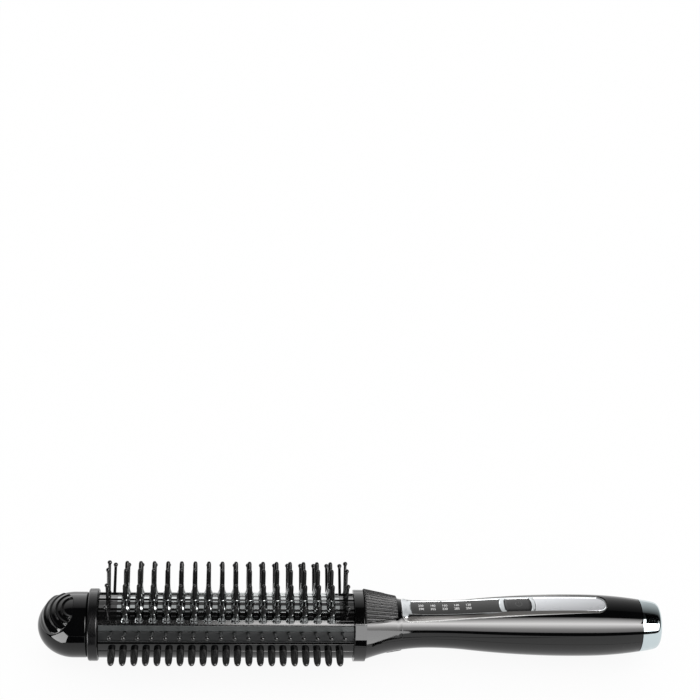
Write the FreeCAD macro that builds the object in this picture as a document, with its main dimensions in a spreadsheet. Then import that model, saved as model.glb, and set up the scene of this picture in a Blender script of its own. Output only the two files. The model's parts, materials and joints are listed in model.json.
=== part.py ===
"""Steam hair straightener brush, built as an assembly of separate solids.

Barrel frame used while modelling: millimetres, X along the barrel axis from the middle of the
front collar towards the handle, +Z through the heated teeth, Y across. A positive angle turns
from +Z towards -Y, the left side. Every sub-part gets the same final placement, which puts the
origin under the middle of the whole brush, on the plane of the two rest flats.
"""
import FreeCAD, Part
import math
import os
import re
import Sketcher

Vector = FreeCAD.Vector
Rotation = FreeCAD.Rotation
Placement = FreeCAD.Placement

DIMENSIONS = {
    # barrel and collars
    "barrel_r": 17.2, "shell_wall": 1.6, "collar_r": 18.95, "collar_half": 2.7, "edge": 0.6,
    "head_len": 139.5, "joint_gap": 0.2, "rest_flat": 18.6, "spigot_r": 14.7, "spigot_len": 2.0,
    "inner_front_x": 7.5, "inner_rear_x": 133.9,
    # heated plate and its teeth
    "plate_half_angle": 48.5, "row_step": 21.6, "tooth_first": 16.84, "tooth_pitch": 7.175,
    "tooth_count": 16, "foot_half_x": 2.35, "foot_half_y": 4.0, "waist_half_x": 1.45,
    "waist_half_y": 1.6, "foot_top_r": 19.6, "stub_top_r": 22.4, "stub_half": 1.25,
    "peg_half": 0.42, "peg_hole_r": 0.62, "peg_top_r": 25.4, "cap_r": 1.22, "tooth_tip_r": 33.8,
    "strip_half_y": 3.2, "strip_front_x": 12.5, "strip_rear_x": 129.0, "strip_top_r": 17.35,
    "boss_half_y": 6.0, "boss_z": 11.0, "boss_front_x": 9.0, "boss_rear_x": 131.0,
    "vent_r": 0.8, "vent_count": 8,
    # ball-tipped pins
    "pin_r": 0.7, "ball_r": 1.05, "end_pin_front_x": 7.62, "end_pin_rear_x": 132.44,
    "end_ball_r": 33.08, "side_pin_first": 9.94, "side_pin_pitch": 7.093, "side_pin_count": 18,
    "side_pin_tilt": 56.2, "side_pin_shift": 2.05, "side_pin_foot": 16.1, "side_ball_r": 33.5,
    # side strips, back shell and short comb teeth
    "strip_in_r": 14.8, "rail_r": 17.05, "rail_end_angle": 60.0, "channel_r": 16.05,
    "channel_end_angle": 82.4, "comb_angle": 100.0, "comb_first": 9.9, "comb_pitch": 5.97,
    "comb_count": 21, "comb_half_x": 2.0, "comb_half_y": 1.3, "comb_tip_r": 26.8,
    "comb_bar_low": 13.6, "comb_bar_high": 15.3,
    # inside the barrel
    "core_r": 13.3, "core_wall": 1.2, "deck_z": 2.1, "deck_top": 2.9, "chamber_z": 8.5,
    "heater_z": 6.3, "film_z": 5.9, "rod_r": 1.25, "guide_r": 1.32, "rod_collar_r": 1.8,
    # water tank in the nose
    "dome_x": -10.0, "dome_len": 19.5, "tank_back_x": -3.0, "tank_wall": 2.2, "neck_r": 12.37,
    "socket_r": 12.45, "neck_end_x": 1.6, "bulkhead_x": -5.4, "stem_r": 1.2,
    # oval finger pad on the nose, turned a little to the left, with raised arcs
    "pad_turn": 16.0, "pad_x": -18.8, "pad_half_x": 9.3, "pad_half_y": 12.1, "pad_rear_x": -10.0,
    "pad_depth": 0.95, "pad_rise": 0.15, "ridge_rise": 0.7, "ridge_first": 5.0,
    "ridge_pitch": 3.15, "ridge_width": 1.9, "ridge_count": 4,
    # handle: an outline of four tangent arcs, turned about the handle's own axis
    "handle_z": 0.9, "handle_wall": 2.4, "rim_x": 137.2, "flare_x": 142.2, "flare_end_x": 143.2,
    "neck_curve": 97.0, "waist_x": 177.5, "waist_r": 12.3, "waist_curve": 200.0,
    "belly_x": 255.0, "belly_r": 16.45, "tail_turn_x": 264.0, "tail_curve": 211.6,
    "handle_end_x": 291.6, "seam_z": 1.7, "seam_gap": 0.05,
    # ribbed grip
    "notch_front_y": 14.2, "notch_rear_x": 160.2, "notch_rear_y": 8.8, "grip_rise_r": 19.4,
    "grip_end_r": 15.7, "grip_axis_z": 0.4, "groove_width": 0.8, "groove_depth": 0.9,
    "groove_count": 13, "groove_step": 7.0,
    # control panel: level across, its top a hollow arc and a round arc
    "dip_x": 172.0, "dip_z": 12.98, "dip_curve": 400.0, "crest_x": 257.0, "crest_z": 16.1,
    "panel_front_x": 158.0, "panel_rear_x": 276.0, "seat_depth": 0.9, "floor": 0.8,
    "window_drop": 0.1, "button_rise": 0.35, "button_x": 224.8,
    "board_z": 5.8, "board_top": 7.4, "board_front_x": 170.0, "board_rear_x": 262.0,
    "board_half_y": 7.0, "mark_first": 172.9, "mark_pitch": 6.35, "mark_count": 5,
    # steam trigger and its linkage
    "trigger_front_x": 155.8, "trigger_rear_x": 164.0, "trigger_half_y": 4.0,
    "trigger_low_z": -16.4, "trigger_drop": 2.0, "flange_z": -8.4, "rod_front_x": 3.1,
    "tail_x": 144.0, "ramp_zero_x": 150.0, "tail_half": 2.0, "ramp_gap": 0.08,
    # end cap and cord gland
    "cap_x": 291.8, "cap_r_start": 14.05, "cap_end_x": 303.0, "gland_bore_r": 3.4,
    "gland_r": 5.2, "gland_clear": 0.08,
    # handle screws
    "post_r": 3.4, "screw_r": 0.9, "screw_head_r": 2.0, "screw_head": 1.3,
}

# Half outlines seen from above: place along X and half width. A third value rounds the edge to
# the next corner with that radius, outwards, or inwards when it is negative.
PANEL_OUTLINE = (
    (162.3, 6.2, 4.0), (166.0, 8.9, -308.0), (206.0, 7.9, 961.0), (268.0, 6.7, 5.5),
    (272.6, 3.0),
)
WINDOW_OUTLINE = ((167.5, 4.9), (176.0, 5.2), (215.2, 5.1))
BUTTON_OUTLINE = ((216.6, 1.2, 12.0), (217.7, 5.0), (231.2, 5.0, 12.0), (232.2, 1.2))
NAME_PLATE_OUTLINE = ((234.0, 5.3), (248.0, 5.3), (265.0, 4.9, 5.5), (270.8, 1.6))
HANDLE_POSTS = (169.0, 208.0, 268.0)

# Radius of each round arc that runs on smoothly from the hollow arc before it.
BELLY_CURVE = "(((belly_x-waist_x)^2+(belly_r-waist_r)^2)/(2*(belly_r-waist_r))-waist_curve)"
CREST_CURVE = "(((crest_x-dip_x)^2+(crest_z-dip_z)^2)/(2*(crest_z-dip_z))-dip_curve)"

WORDS = re.compile(r"\b[a-z][a-z_0-9]*\b")
ALONG_X = Rotation(Vector(1, 0, 1), 180)
UPRIGHT = Rotation()

document = FreeCAD.newDocument("steam_brush")
sheet = document.addObject("Spreadsheet::Sheet", "dims")
published = []


def fill_sheet():
    """Write the driving dimensions into the spreadsheet."""
    for line, (alias, number) in enumerate(DIMENSIONS.items(), 1):
        sheet.set("A%d" % line, alias)
        sheet.set("B%d" % line, str(number))
        sheet.setAlias("B%d" % line, alias)
    document.recompute()


fill_sheet()


def bound(text):
    """Turn words of an expression that name a cell into references to the sheet."""
    def name(match):
        word = match.group(0)
        return "dims." + word if word in DIMENSIONS else word
    return WORDS.sub(name, str(text))


def value(text):
    """Number that an expression gives."""
    return float(sheet.evalExpression(bound(text)))


def drive(obj, **expressions):
    """Bind properties of an object to expressions in the sheet's cells."""
    for prop, text in expressions.items():
        obj.setExpression(prop, bound(text))
    return obj


def seat(obj, rotation, x="0", y="0", z="0"):
    """Place an object: a fixed rotation and a position bound to the sheet."""
    obj.Placement = Placement(Vector(), rotation)
    for axis, text in (("x", x), ("y", y), ("z", z)):
        obj.setExpression("Placement.Base." + axis, bound(text))
    return obj


def turn(angle):
    """Rotation about the barrel axis."""
    return Rotation(Vector(1, 0, 0), angle)


# --- primitives and booleans ------------------------------------------------------------------

def block(name, x, y, z):
    """Box between two expressions on each axis."""
    box = document.addObject("Part::Box", name)
    drive(box, Length="(%s)-(%s)" % (x[1], x[0]), Width="(%s)-(%s)" % (y[1], y[0]),
          Height="(%s)-(%s)" % (z[1], z[0]))
    return seat(box, UPRIGHT, x[0], y[0], z[0])


def even_block(name, x, half_y, z):
    """Box centred on the barrel's middle plane."""
    return block(name, x, ("-(%s)" % half_y, half_y), z)


def rod(name, x0, x1, radius, y="0", z="0"):
    """Cylinder along X."""
    cylinder = document.addObject("Part::Cylinder", name)
    drive(cylinder, Radius=radius, Height="(%s)-(%s)" % (x1, x0))
    return seat(cylinder, ALONG_X, x0, y, z)


def post(name, x, y, z0, z1, radius):
    """Cylinder along Z."""
    cylinder = document.addObject("Part::Cylinder", name)
    drive(cylinder, Radius=radius, Height="(%s)-(%s)" % (z1, z0))
    return seat(cylinder, UPRIGHT, x, y, z0)


def fuse(name, *shapes):
    """Union of several objects."""
    result = document.addObject("Part::MultiFuse", name)
    result.Shapes = list(shapes)
    return result


def cut(name, base, *tools):
    """Base less every tool."""
    result = document.addObject("Part::Cut", name)
    result.Base = base
    result.Tool = tools[0] if len(tools) == 1 else fuse(name + "_tools", *tools)
    return result


def common(name, first, second):
    """Overlap of two objects."""
    result = document.addObject("Part::Common", name)
    result.Base = first
    result.Tool = second
    return result


def sector(name, r_in, r_out, start, end, x0, x1):
    """Part of a tube about the barrel axis, between two angles."""
    outer = document.addObject("Part::Cylinder", name + "_outer")
    drive(outer, Radius=r_out, Height="(%s)-(%s)" % (x1, x0), Angle="(%s)-(%s)" % (end, start))
    seat(outer, turn(value(start)) * ALONG_X, x0)
    inner = rod(name + "_inner", "(%s)-1" % x0, "(%s)+1" % x1, r_in)
    return cut(name, outer, inner)


# --- PartDesign bodies ------------------------------------------------------------------------

def new_body(name):
    """Empty body that may hold several solids."""
    body = document.addObject("PartDesign::Body", name)
    body.AllowCompound = True
    return body


def origin_feature(body, role):
    """Origin plane or axis of a body."""
    return next(item for item in body.Origin.OriginFeatures if item.Role == role)


def edge_between(start, end, radius):
    """Line, or an arc that bulges to the left of the way, or to the right if it is negative."""
    if not radius:
        return Part.LineSegment(start, end)
    chord = end - start
    left = Vector(-chord.y, chord.x, 0).normalize()
    sag = abs(radius) - math.sqrt(radius ** 2 - (chord.Length / 2) ** 2)
    return Part.Arc(start, (start + end) / 2 + left * math.copysign(sag, radius), end)


def outline_sketch(body, name, points, plane="XZ_Plane"):
    """Closed outline whose corners and radii are bound to the sheet.

    A point is (u, v), or (u, v, radius, side) where an arc leads on to the next point.
    """
    sketch = body.newObject("Sketcher::SketchObject", name)
    sketch.AttachmentSupport = [(origin_feature(body, plane), "")]
    sketch.MapMode = "FlatFace"
    corners = [Vector(value(point[0]), value(point[1]), 0) for point in points]
    arcs = [point[2:] for point in points]
    starts = []
    for index, (here, there) in enumerate(zip(corners, corners[1:] + corners[:1])):
        radius = value(arcs[index][0]) * arcs[index][1] if arcs[index] else 0
        sketch.addGeometry(edge_between(here, there, radius), False)
        starts.append(1 if sketch.getPoint(index, 1).isEqual(here, 1e-6) else 2)
    for index, start in enumerate(starts):
        following = (index + 1) % len(starts)
        sketch.addConstraint(Sketcher.Constraint("Coincident", index, 3 - start, following,
                                                 starts[following]))
        bind(sketch, Sketcher.Constraint("DistanceX", -1, 1, index, start, corners[index].x),
             points[index][0])
        bind(sketch, Sketcher.Constraint("DistanceY", -1, 1, index, start, corners[index].y),
             points[index][1])
        if arcs[index]:
            bind(sketch, Sketcher.Constraint("Radius", index, value(arcs[index][0])),
                 arcs[index][0])
    return sketch


def bind(sketch, constraint, text):
    """Add a constraint whose value is an expression in the sheet's cells."""
    place = sketch.addConstraint(constraint)
    sketch.setExpression("Constraints[%d]" % place, bound(text))


def turned(name, points, axis="H_Axis"):
    """Body made by revolving an outline about the barrel axis, or about V_Axis for a tooth."""
    body = new_body(name)
    sketch = outline_sketch(body, name + "_outline", points)
    revolution = body.newObject("PartDesign::Revolution", name + "_turn")
    revolution.Profile = (sketch, [""])
    revolution.ReferenceAxis = (sketch, [axis])
    revolution.Angle = 360
    body.Tip = revolution
    return body


def padded(name, points, width, plane="XZ_Plane"):
    """Body made by padding an outline to both sides of its plane."""
    body = new_body(name)
    sketch = outline_sketch(body, name + "_outline", points, plane)
    pad = body.newObject("PartDesign::Pad", name + "_pad")
    pad.Profile = (sketch, [""])
    pad.SideType = "Symmetric"
    drive(pad, Length=width)
    body.Tip = pad
    return body


def repeat_along_x(body, originals, pitch, count):
    """Linear pattern of features along the body's X axis."""
    document.recompute()
    pattern = body.newObject("PartDesign::LinearPattern", body.Name + "_row")
    pattern.Originals = originals
    pattern.Direction = (origin_feature(body, "X_Axis"), [""])
    drive(pattern, Length="(%s)*((%s)-1)" % (pitch, count), Occurrences=count)
    body.Tip = pattern
    return pattern


def repeat_grid(body, originals, pitch, count):
    """Pattern along X and over the four rows of heated teeth."""
    document.recompute()
    grid = body.newObject("PartDesign::MultiTransform", originals[0].Name + "_grid")
    grid.Originals = originals
    line = document.addObject("PartDesign::LinearPattern", originals[0].Name + "_line")
    line.Direction = (origin_feature(body, "X_Axis"), [""])
    drive(line, Length="(%s)*((%s)-1)" % (pitch, count), Occurrences=count)
    rows = document.addObject("PartDesign::PolarPattern", originals[0].Name + "_rows")
    rows.Axis = (origin_feature(body, "X_Axis"), [""])
    drive(rows, Angle="3*row_step", Occurrences="4")
    grid.Transformations = [line, rows] if value(count) > 1 else [rows]
    body.Tip = grid
    return grid


def publish(obj, label, rotation=None, shift=None):
    """Name a sub-part and move it from the barrel frame to the part's own frame."""
    if any("Placement" in entry[0] for entry in obj.ExpressionEngine):
        obj = compound(label + "_placed", [obj])
    local = Placement(shift or Vector(), Rotation())
    local = Placement(Vector(), rotation or Rotation()) * local
    centre_x = (value("dome_x - dome_len") + value("cap_end_x")) / 2
    home = Placement(Vector(-centre_x, 0, value("rest_flat")), Rotation())
    obj.Label = label
    obj.Placement = home * local * obj.Placement
    published.append(obj)
    return obj


# --- barrel -----------------------------------------------------------------------------------

def rest_cut(name, x):
    """Block that cuts the flat under a collar."""
    return block(name, ("(%s)-5" % x, "(%s)+5" % x), ("-10", "10"), ("-30", "-rest_flat"))


def front_collar():
    """Stepped ring at the nose: socket for the tank's neck, inner flange for three screws."""
    ring = turned("front_collar_ring", (
        ("-collar_half", "socket_r"), ("-collar_half", "collar_r-edge"),
        ("edge-collar_half", "collar_r"), ("collar_half-edge", "collar_r"),
        ("collar_half", "collar_r-edge"), ("collar_half", "spigot_r"),
        ("collar_half+spigot_len", "spigot_r"), ("collar_half+spigot_len", "8"),
        ("3.2", "8"), ("3.2", "socket_r")))
    holes = [rod("collar_hole_%d" % number, "2", "6", "screw_r+0.1",
                 "-10.5*sin(%d)" % angle, "10.5*cos(%d)" % angle)
             for number, angle in enumerate((60, 180, 300))]
    publish(cut("front_collar_cut", ring, rest_cut("front_rest", "0"), *holes), "front_collar")


def collar_screws():
    """Three screws that clamp the front collar to the chassis."""
    screws = []
    for number, angle in enumerate((60, 180, 300)):
        y = "-10.5*sin(%d)" % angle
        z = "10.5*cos(%d)" % angle
        head = rod("collar_screw_head_%d" % number, "2.05", "3.2", "1.75", y, z)
        shank = rod("collar_screw_shank_%d" % number, "3.2", "8.8", "screw_r", y, z)
        screws.append(fuse("collar_screw_%d" % number, head, shank))
    publish(compound("collar_screw_set", screws), "collar_screws")


def compound(name, objects):
    """Group of separate solids that make one node."""
    group = document.addObject("Part::Compound", name)
    group.Links = list(objects)
    return group


def heater_plate():
    """Aluminium plate with flat tooth strips, flared stubs with pegs, and steam vents.

    The body is modelled with its first row of teeth along +Y and then turned into place.
    """
    upright = 90 - 1.5 * value("row_step")
    body = new_body("heater_plate_body")
    arc = body.newObject("PartDesign::AdditiveCylinder", "plate_arc")
    drive(arc, Radius="barrel_r", Height="head_len-2*(collar_half+joint_gap)",
          Angle="2*plate_half_angle")
    seat(arc, turn(-upright - value("plate_half_angle")) * ALONG_X, "collar_half+joint_gap")
    bore = body.newObject("PartDesign::SubtractiveCylinder", "plate_bore")
    drive(bore, Radius="barrel_r-shell_wall", Height="head_len")
    seat(bore, ALONG_X)
    strip = body.newObject("PartDesign::AdditiveWedge", "tooth_strip")
    shape_wedge(strip, "16", "strip_top_r", "(strip_rear_x-strip_front_x)/2", "strip_half_y",
                "(strip_rear_x-strip_front_x)/2", "strip_half_y")
    seat(strip, UPRIGHT, "(strip_front_x+strip_rear_x)/2")
    repeat_grid(body, [strip], "1", "1")
    foot = body.newObject("PartDesign::AdditiveWedge", "stub_foot")
    shape_wedge(foot, "16.6", "foot_top_r", "foot_half_x", "foot_half_y",
                "waist_half_x", "waist_half_y")
    neck = body.newObject("PartDesign::AdditiveWedge", "stub_neck")
    shape_wedge(neck, "foot_top_r-0.01", "stub_top_r", "waist_half_x", "waist_half_y",
                "stub_half", "stub_half")
    peg = body.newObject("PartDesign::AdditiveWedge", "stub_peg")
    shape_wedge(peg, "stub_top_r-0.5", "peg_top_r", "peg_half", "peg_half", "peg_half",
                "peg_half")
    for feature in (foot, neck, peg):
        seat(feature, UPRIGHT, "tooth_first")
    repeat_grid(body, [foot, neck, peg], "tooth_pitch", "tooth_count")
    body.Placement = Placement(Vector(), turn(upright))
    boss = even_block("plate_boss", ("boss_front_x", "boss_rear_x"), "boss_half_y",
                      ("boss_z", "boss_z+5"))
    vents = [post("steam_vent_%d" % number, "tooth_first+%d.5*tooth_pitch" % (2 * number), "0",
                  "boss_z-1", "20", "vent_r") for number in range(DIMENSIONS["vent_count"])]
    publish(cut("plate_cut", fuse("plate_fused", body, boss), *vents), "heater_plate")


def shape_wedge(wedge, low, high, half_x, half_y, top_half_x, top_half_y):
    """Tapered block that stands along its own Y axis."""
    drive(wedge, Ymin=low, Ymax=high, Xmin="-(%s)" % half_x, Xmax=half_x,
          Zmin="-(%s)" % half_y, Zmax=half_y, X2min="-(%s)" % top_half_x, X2max=top_half_x,
          Z2min="-(%s)" % top_half_y, Z2max=top_half_y)


def tooth_caps():
    """Four rows of heat-proof plastic caps, each cap pushed over the peg of its stub."""
    for row in range(4):
        name = "cap_row_%d" % (row + 1)
        body = turned(name, (
            ("peg_hole_r", "stub_top_r"), ("cap_r", "stub_top_r"), ("cap_r-0.05", "31.6"),
            ("cap_r-0.22", "tooth_tip_r-0.5"), ("0.6", "tooth_tip_r"), ("0", "tooth_tip_r"),
            ("0", "peg_top_r+0.1"), ("peg_hole_r", "peg_top_r+0.1")), "V_Axis")
        repeat_along_x(body, [body.Tip], "tooth_pitch", "tooth_count")
        publish(body, "tooth_caps_row_%d" % (row + 1), turn((row - 1.5) * value("row_step")),
                Vector(value("tooth_first"), 0, 0))


def ball_pin(name, foot, foot_r, ball_centre):
    """Ball-tipped pin with a small foot, standing along Z."""
    body = new_body(name)
    base = body.newObject("PartDesign::AdditiveCone", name + "_foot")
    drive(base, Radius1=foot_r, Radius2="pin_r", Height="1.2")
    seat(base, UPRIGHT, "0", "0", foot)
    shaft = body.newObject("PartDesign::AdditiveCylinder", name + "_shaft")
    drive(shaft, Radius="pin_r", Height="(%s)-(%s)" % (ball_centre, foot))
    seat(shaft, UPRIGHT, "0", "0", foot)
    ball = body.newObject("PartDesign::AdditiveSphere", name + "_ball")
    drive(ball, Radius="ball_r")
    seat(ball, UPRIGHT, "0", "0", ball_centre)
    body.Tip = ball
    document.recompute()
    return body, [base, shaft, ball]


def end_pins():
    """Four ball-tipped pins at each end of the heated rows, which keep fingers off the plate."""
    for place, label in (("end_pin_front_x", "end_pins_front"),
                         ("end_pin_rear_x", "end_pins_rear")):
        body, features = ball_pin(label + "_body", "barrel_r+0.05", "2*pin_r", "end_ball_r")
        repeat_grid(body, features, "1", "1")
        publish(body, label, turn(-1.5 * value("row_step")), Vector(value(place), 0, 0))


def side_pins():
    """One row of ball-tipped pins along each side."""
    for side, label in ((1, "side_pins_left"), (-1, "side_pins_right")):
        body, features = ball_pin(label + "_body", "side_pin_foot", "1.2*pin_r", "side_ball_r")
        repeat_along_x(body, features, "side_pin_pitch", "side_pin_count")
        publish(body, label, turn(side * value("side_pin_tilt")),
                Vector(value("side_pin_first"), -side * value("side_pin_shift"), 0))


def side_strips():
    """Satin rail beside the heated plate and the sunk strip that carries the side pins."""
    span = ("collar_half+joint_gap", "head_len-collar_half-joint_gap")
    for side, word in ((1, "left"), (-1, "right")):
        rail = sector("rail_" + word, "strip_in_r", "rail_r",
                      "plate_half_angle+0.7", "rail_end_angle", *span)
        strip = sector("channel_" + word, "strip_in_r", "channel_r",
                       "rail_end_angle+0.4", "channel_end_angle", *span)
        for solid, label in ((rail, "side_rail_"), (strip, "pin_strip_")):
            if side < 0:
                solid = mirrored(label + word + "_mirrored", solid)
            publish(solid, label + word)


def mirrored(name, source):
    """Mirror image in the barrel's middle plane."""
    mirror = document.addObject("Part::Mirroring", name)
    mirror.Source = source
    mirror.Normal = Vector(0, 1, 0)
    return mirror


def back_shell():
    """Gloss shell round the back of the barrel, with a slot for each short comb tooth."""
    body = new_body("back_shell_body")
    arc = body.newObject("PartDesign::AdditiveCylinder", "back_arc")
    drive(arc, Radius="barrel_r", Height="head_len-2*(collar_half+joint_gap)",
          Angle="360-2*(channel_end_angle+0.6)")
    seat(arc, turn(value("channel_end_angle+0.6")) * ALONG_X, "collar_half+joint_gap")
    bore = body.newObject("PartDesign::SubtractiveCylinder", "back_bore")
    drive(bore, Radius="barrel_r-shell_wall", Height="head_len")
    seat(bore, ALONG_X)
    for side, word in ((1, "left"), (-1, "right")):
        slot = body.newObject("PartDesign::SubtractiveBox", "comb_slot_" + word)
        drive(slot, Length="2*comb_half_x+0.3", Width="2*comb_half_y+0.3", Height="5")
        corner = Vector(value("comb_first-comb_half_x-0.15"), -value("comb_half_y+0.15"), 14)
        slot.Placement = Placement(Vector(), turn(side * value("comb_angle"))) * Placement(
            corner, Rotation())
        document.recompute()
        row = body.newObject("PartDesign::LinearPattern", "comb_slots_" + word)
        row.Originals = [slot]
        row.Direction = (origin_feature(body, "X_Axis"), [""])
        drive(row, Length="comb_pitch*(comb_count-1)", Occurrences="comb_count")
        body.Tip = row
        document.recompute()
    publish(body, "barrel_back_shell")


def comb_strips():
    """Bar inside the back shell with a row of short tapered teeth, one on each side."""
    for side, label in ((1, "comb_strip_left"), (-1, "comb_strip_right")):
        body = padded(label + "_body", (
            ("-comb_half_x", "comb_bar_low+0.5"), ("comb_half_x", "comb_bar_low+0.5"),
            ("comb_half_x", "barrel_r"), ("0.86*comb_half_x", "comb_tip_r-1.9"),
            ("0.5*comb_half_x", "comb_tip_r-0.3"), ("0.2*comb_half_x", "comb_tip_r"),
            ("-0.2*comb_half_x", "comb_tip_r"), ("-0.5*comb_half_x", "comb_tip_r-0.3"),
            ("-0.86*comb_half_x", "comb_tip_r-1.9"), ("-comb_half_x", "barrel_r")),
            "2*comb_half_y")
        repeat_along_x(body, [body.Tip], "comb_pitch", "comb_count")
        bar = body.newObject("PartDesign::AdditiveBox", label + "_bar")
        drive(bar, Length="comb_pitch*(comb_count-1)+2*comb_half_x", Width="5.6",
              Height="comb_bar_high-comb_bar_low")
        seat(bar, UPRIGHT, "-comb_half_x", "-2.8", "comb_bar_low")
        body.Tip = bar
        publish(body, label, turn(side * value("comb_angle")),
                Vector(value("comb_first"), 0, 0))


def chassis():
    """Inner frame of the barrel: half tube, two end flanges, deck, rod guides and a tail."""
    front = "collar_half+spigot_len+0.1"
    rear = "head_len-collar_half-joint_gap"
    tube = sector("chassis_tube", "core_r-core_wall", "core_r", "62", "298", front, rear)
    front_ring = sector("chassis_front_ring", "7", "spigot_r", "0", "360", front,
                        "inner_front_x")
    rear_ring = sector("chassis_rear_ring", "9.6", "spigot_r", "0", "360", "inner_rear_x",
                       rear)
    tail = sector("chassis_tail", "8.6", "9.8", "110", "250", "inner_rear_x", "tail_x+3.5")
    deck = even_block("chassis_deck", ("9.2", "inner_rear_x+1"), "12.3",
                      ("deck_z", "deck_top"))
    guides = [even_block("rod_guide_%d" % number, (x, "%s+2" % x), "2.6", ("-2.6", "deck_z+0.5"))
              for number, x in enumerate(("10", "128"))]
    bore = rod("guide_bore", "5", "140", "guide_r")
    holes = [rod("chassis_hole_%d" % number, "4", "9", "screw_r+0.05",
                 "-10.5*sin(%d)" % angle, "10.5*cos(%d)" % angle)
             for number, angle in enumerate((60, 180, 300))]
    frame = fuse("chassis_fused", tube, front_ring, rear_ring, tail, deck, *guides)
    publish(cut("chassis_cut", frame, bore, *holes), "barrel_chassis")


def heater_stack():
    """Steam chamber, heating elements, film, clamp spring, sensor and cut-out under the plate."""
    chamber = even_block("chamber_block", ("boss_front_x", "boss_rear_x"), "boss_half_y-0.2",
                         ("chamber_z", "boss_z"))
    hollow = even_block("chamber_hollow", ("boss_front_x+1", "boss_rear_x-1"),
                        "boss_half_y-1.2", ("chamber_z+1", "boss_z+1"))
    inlet = even_block("chamber_inlet", ("boss_front_x-1", "boss_front_x+2"), "2",
                       ("chamber_z+1.1", "boss_z-0.2"))
    publish(cut("steam_chamber_cut", chamber, hollow, inlet), "steam_chamber")
    for x0, x1, label in (("14", "66", "ptc_heater_front"), ("74", "126", "ptc_heater_rear")):
        publish(even_block(label + "_block", (x0, x1), "boss_half_y", ("heater_z", "chamber_z")),
                label)
    publish(even_block("film_block", ("12", "128"), "6.5", ("film_z", "heater_z")),
            "heater_insulator")
    publish(leaf_spring("clamp_leaf", (("14", "deck_top"), ("42", "film_z-0.4"),
                                       ("70", "deck_top"), ("98", "film_z-0.4"),
                                       ("126", "deck_top")), "0.35", "8"),
            "heater_clamp_spring")
    publish(rod("thermistor_bead", "68", "72", "1", "0", "chamber_z-1.05"), "thermistor")
    publish(rod("fuse_body", "100", "112", "1.9", "boss_half_y+1.95", "chamber_z-0.3"),
            "thermal_fuse")
    publish(padded("wick_body", (
        ("2.5", "1.8"), ("8.9", "1.8"), ("8.9", "10.8"), ("7.9", "10.8"), ("7.9", "6.4"),
        ("2.5", "6.4")), "4.8"), "feed_wick")


def leaf_spring(name, points, thickness, width):
    """Flat strip folded along a line of points."""
    upper = [(u, "(%s)+%s" % (v, thickness)) for u, v in reversed(points)]
    return padded(name, tuple(points) + tuple(upper), width)


def coil_spring(name, x0, x1, mean_r, wire_r, turns):
    """Round-wire coil along X, whose shape is swept along a helix."""
    length = value(x1) - value(x0) - 2 * wire_r
    helix = Part.makeHelix(length / turns, length, mean_r)
    section = Part.Wire([Part.makeCircle(wire_r, Vector(mean_r, 0, 0), Vector(0, 1, 0))])
    coil = Part.Wire(helix.Edges).makePipeShell([section], True, True)
    feature = document.addObject("Part::Feature", name)
    feature.Shape = coil
    feature.Placement = Placement(Vector(value(x0) + wire_r, 0, 0), ALONG_X)
    return feature


# --- nose tank --------------------------------------------------------------------------------

def dome(name, offset):
    """Half ellipsoid of the nose with its short straight skirt, grown by an offset."""
    cap = document.addObject("Part::Ellipsoid", name + "_cap")
    cap.Angle1 = 0
    drive(cap, Radius1="dome_len+(%s)" % offset, Radius2="barrel_r+(%s)" % offset,
          Radius3="barrel_r+(%s)" % offset)
    seat(cap, Rotation(Vector(0, 1, 0), -90), "dome_x")
    skirt = rod(name + "_skirt", "dome_x", "tank_back_x", "barrel_r+(%s)" % offset)
    return fuse(name, cap, skirt)


def pad_plan(name, gap):
    """Upright prism with the oval plan of the finger pad, cut off straight at the rear."""
    oval = document.addObject("Part::Ellipse", name + "_oval")
    drive(oval, MajorRadius="pad_half_y+(%s)" % gap, MinorRadius="pad_half_x+(%s)" % gap)
    seat(oval, Rotation(Vector(0, 0, 1), 90), "pad_x")
    prism_solid = document.addObject("Part::Extrusion", name + "_prism")
    prism_solid.Base = oval
    prism_solid.DirMode = "Custom"
    prism_solid.Dir = Vector(0, 0, 1)
    prism_solid.LengthFwd = 25
    prism_solid.Solid = True
    frame = even_block(name + "_frame", ("dome_x-30", "pad_rear_x+(%s)" % gap), "20",
                       ("0", "25"))
    return common(name, prism_solid, frame)


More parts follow.
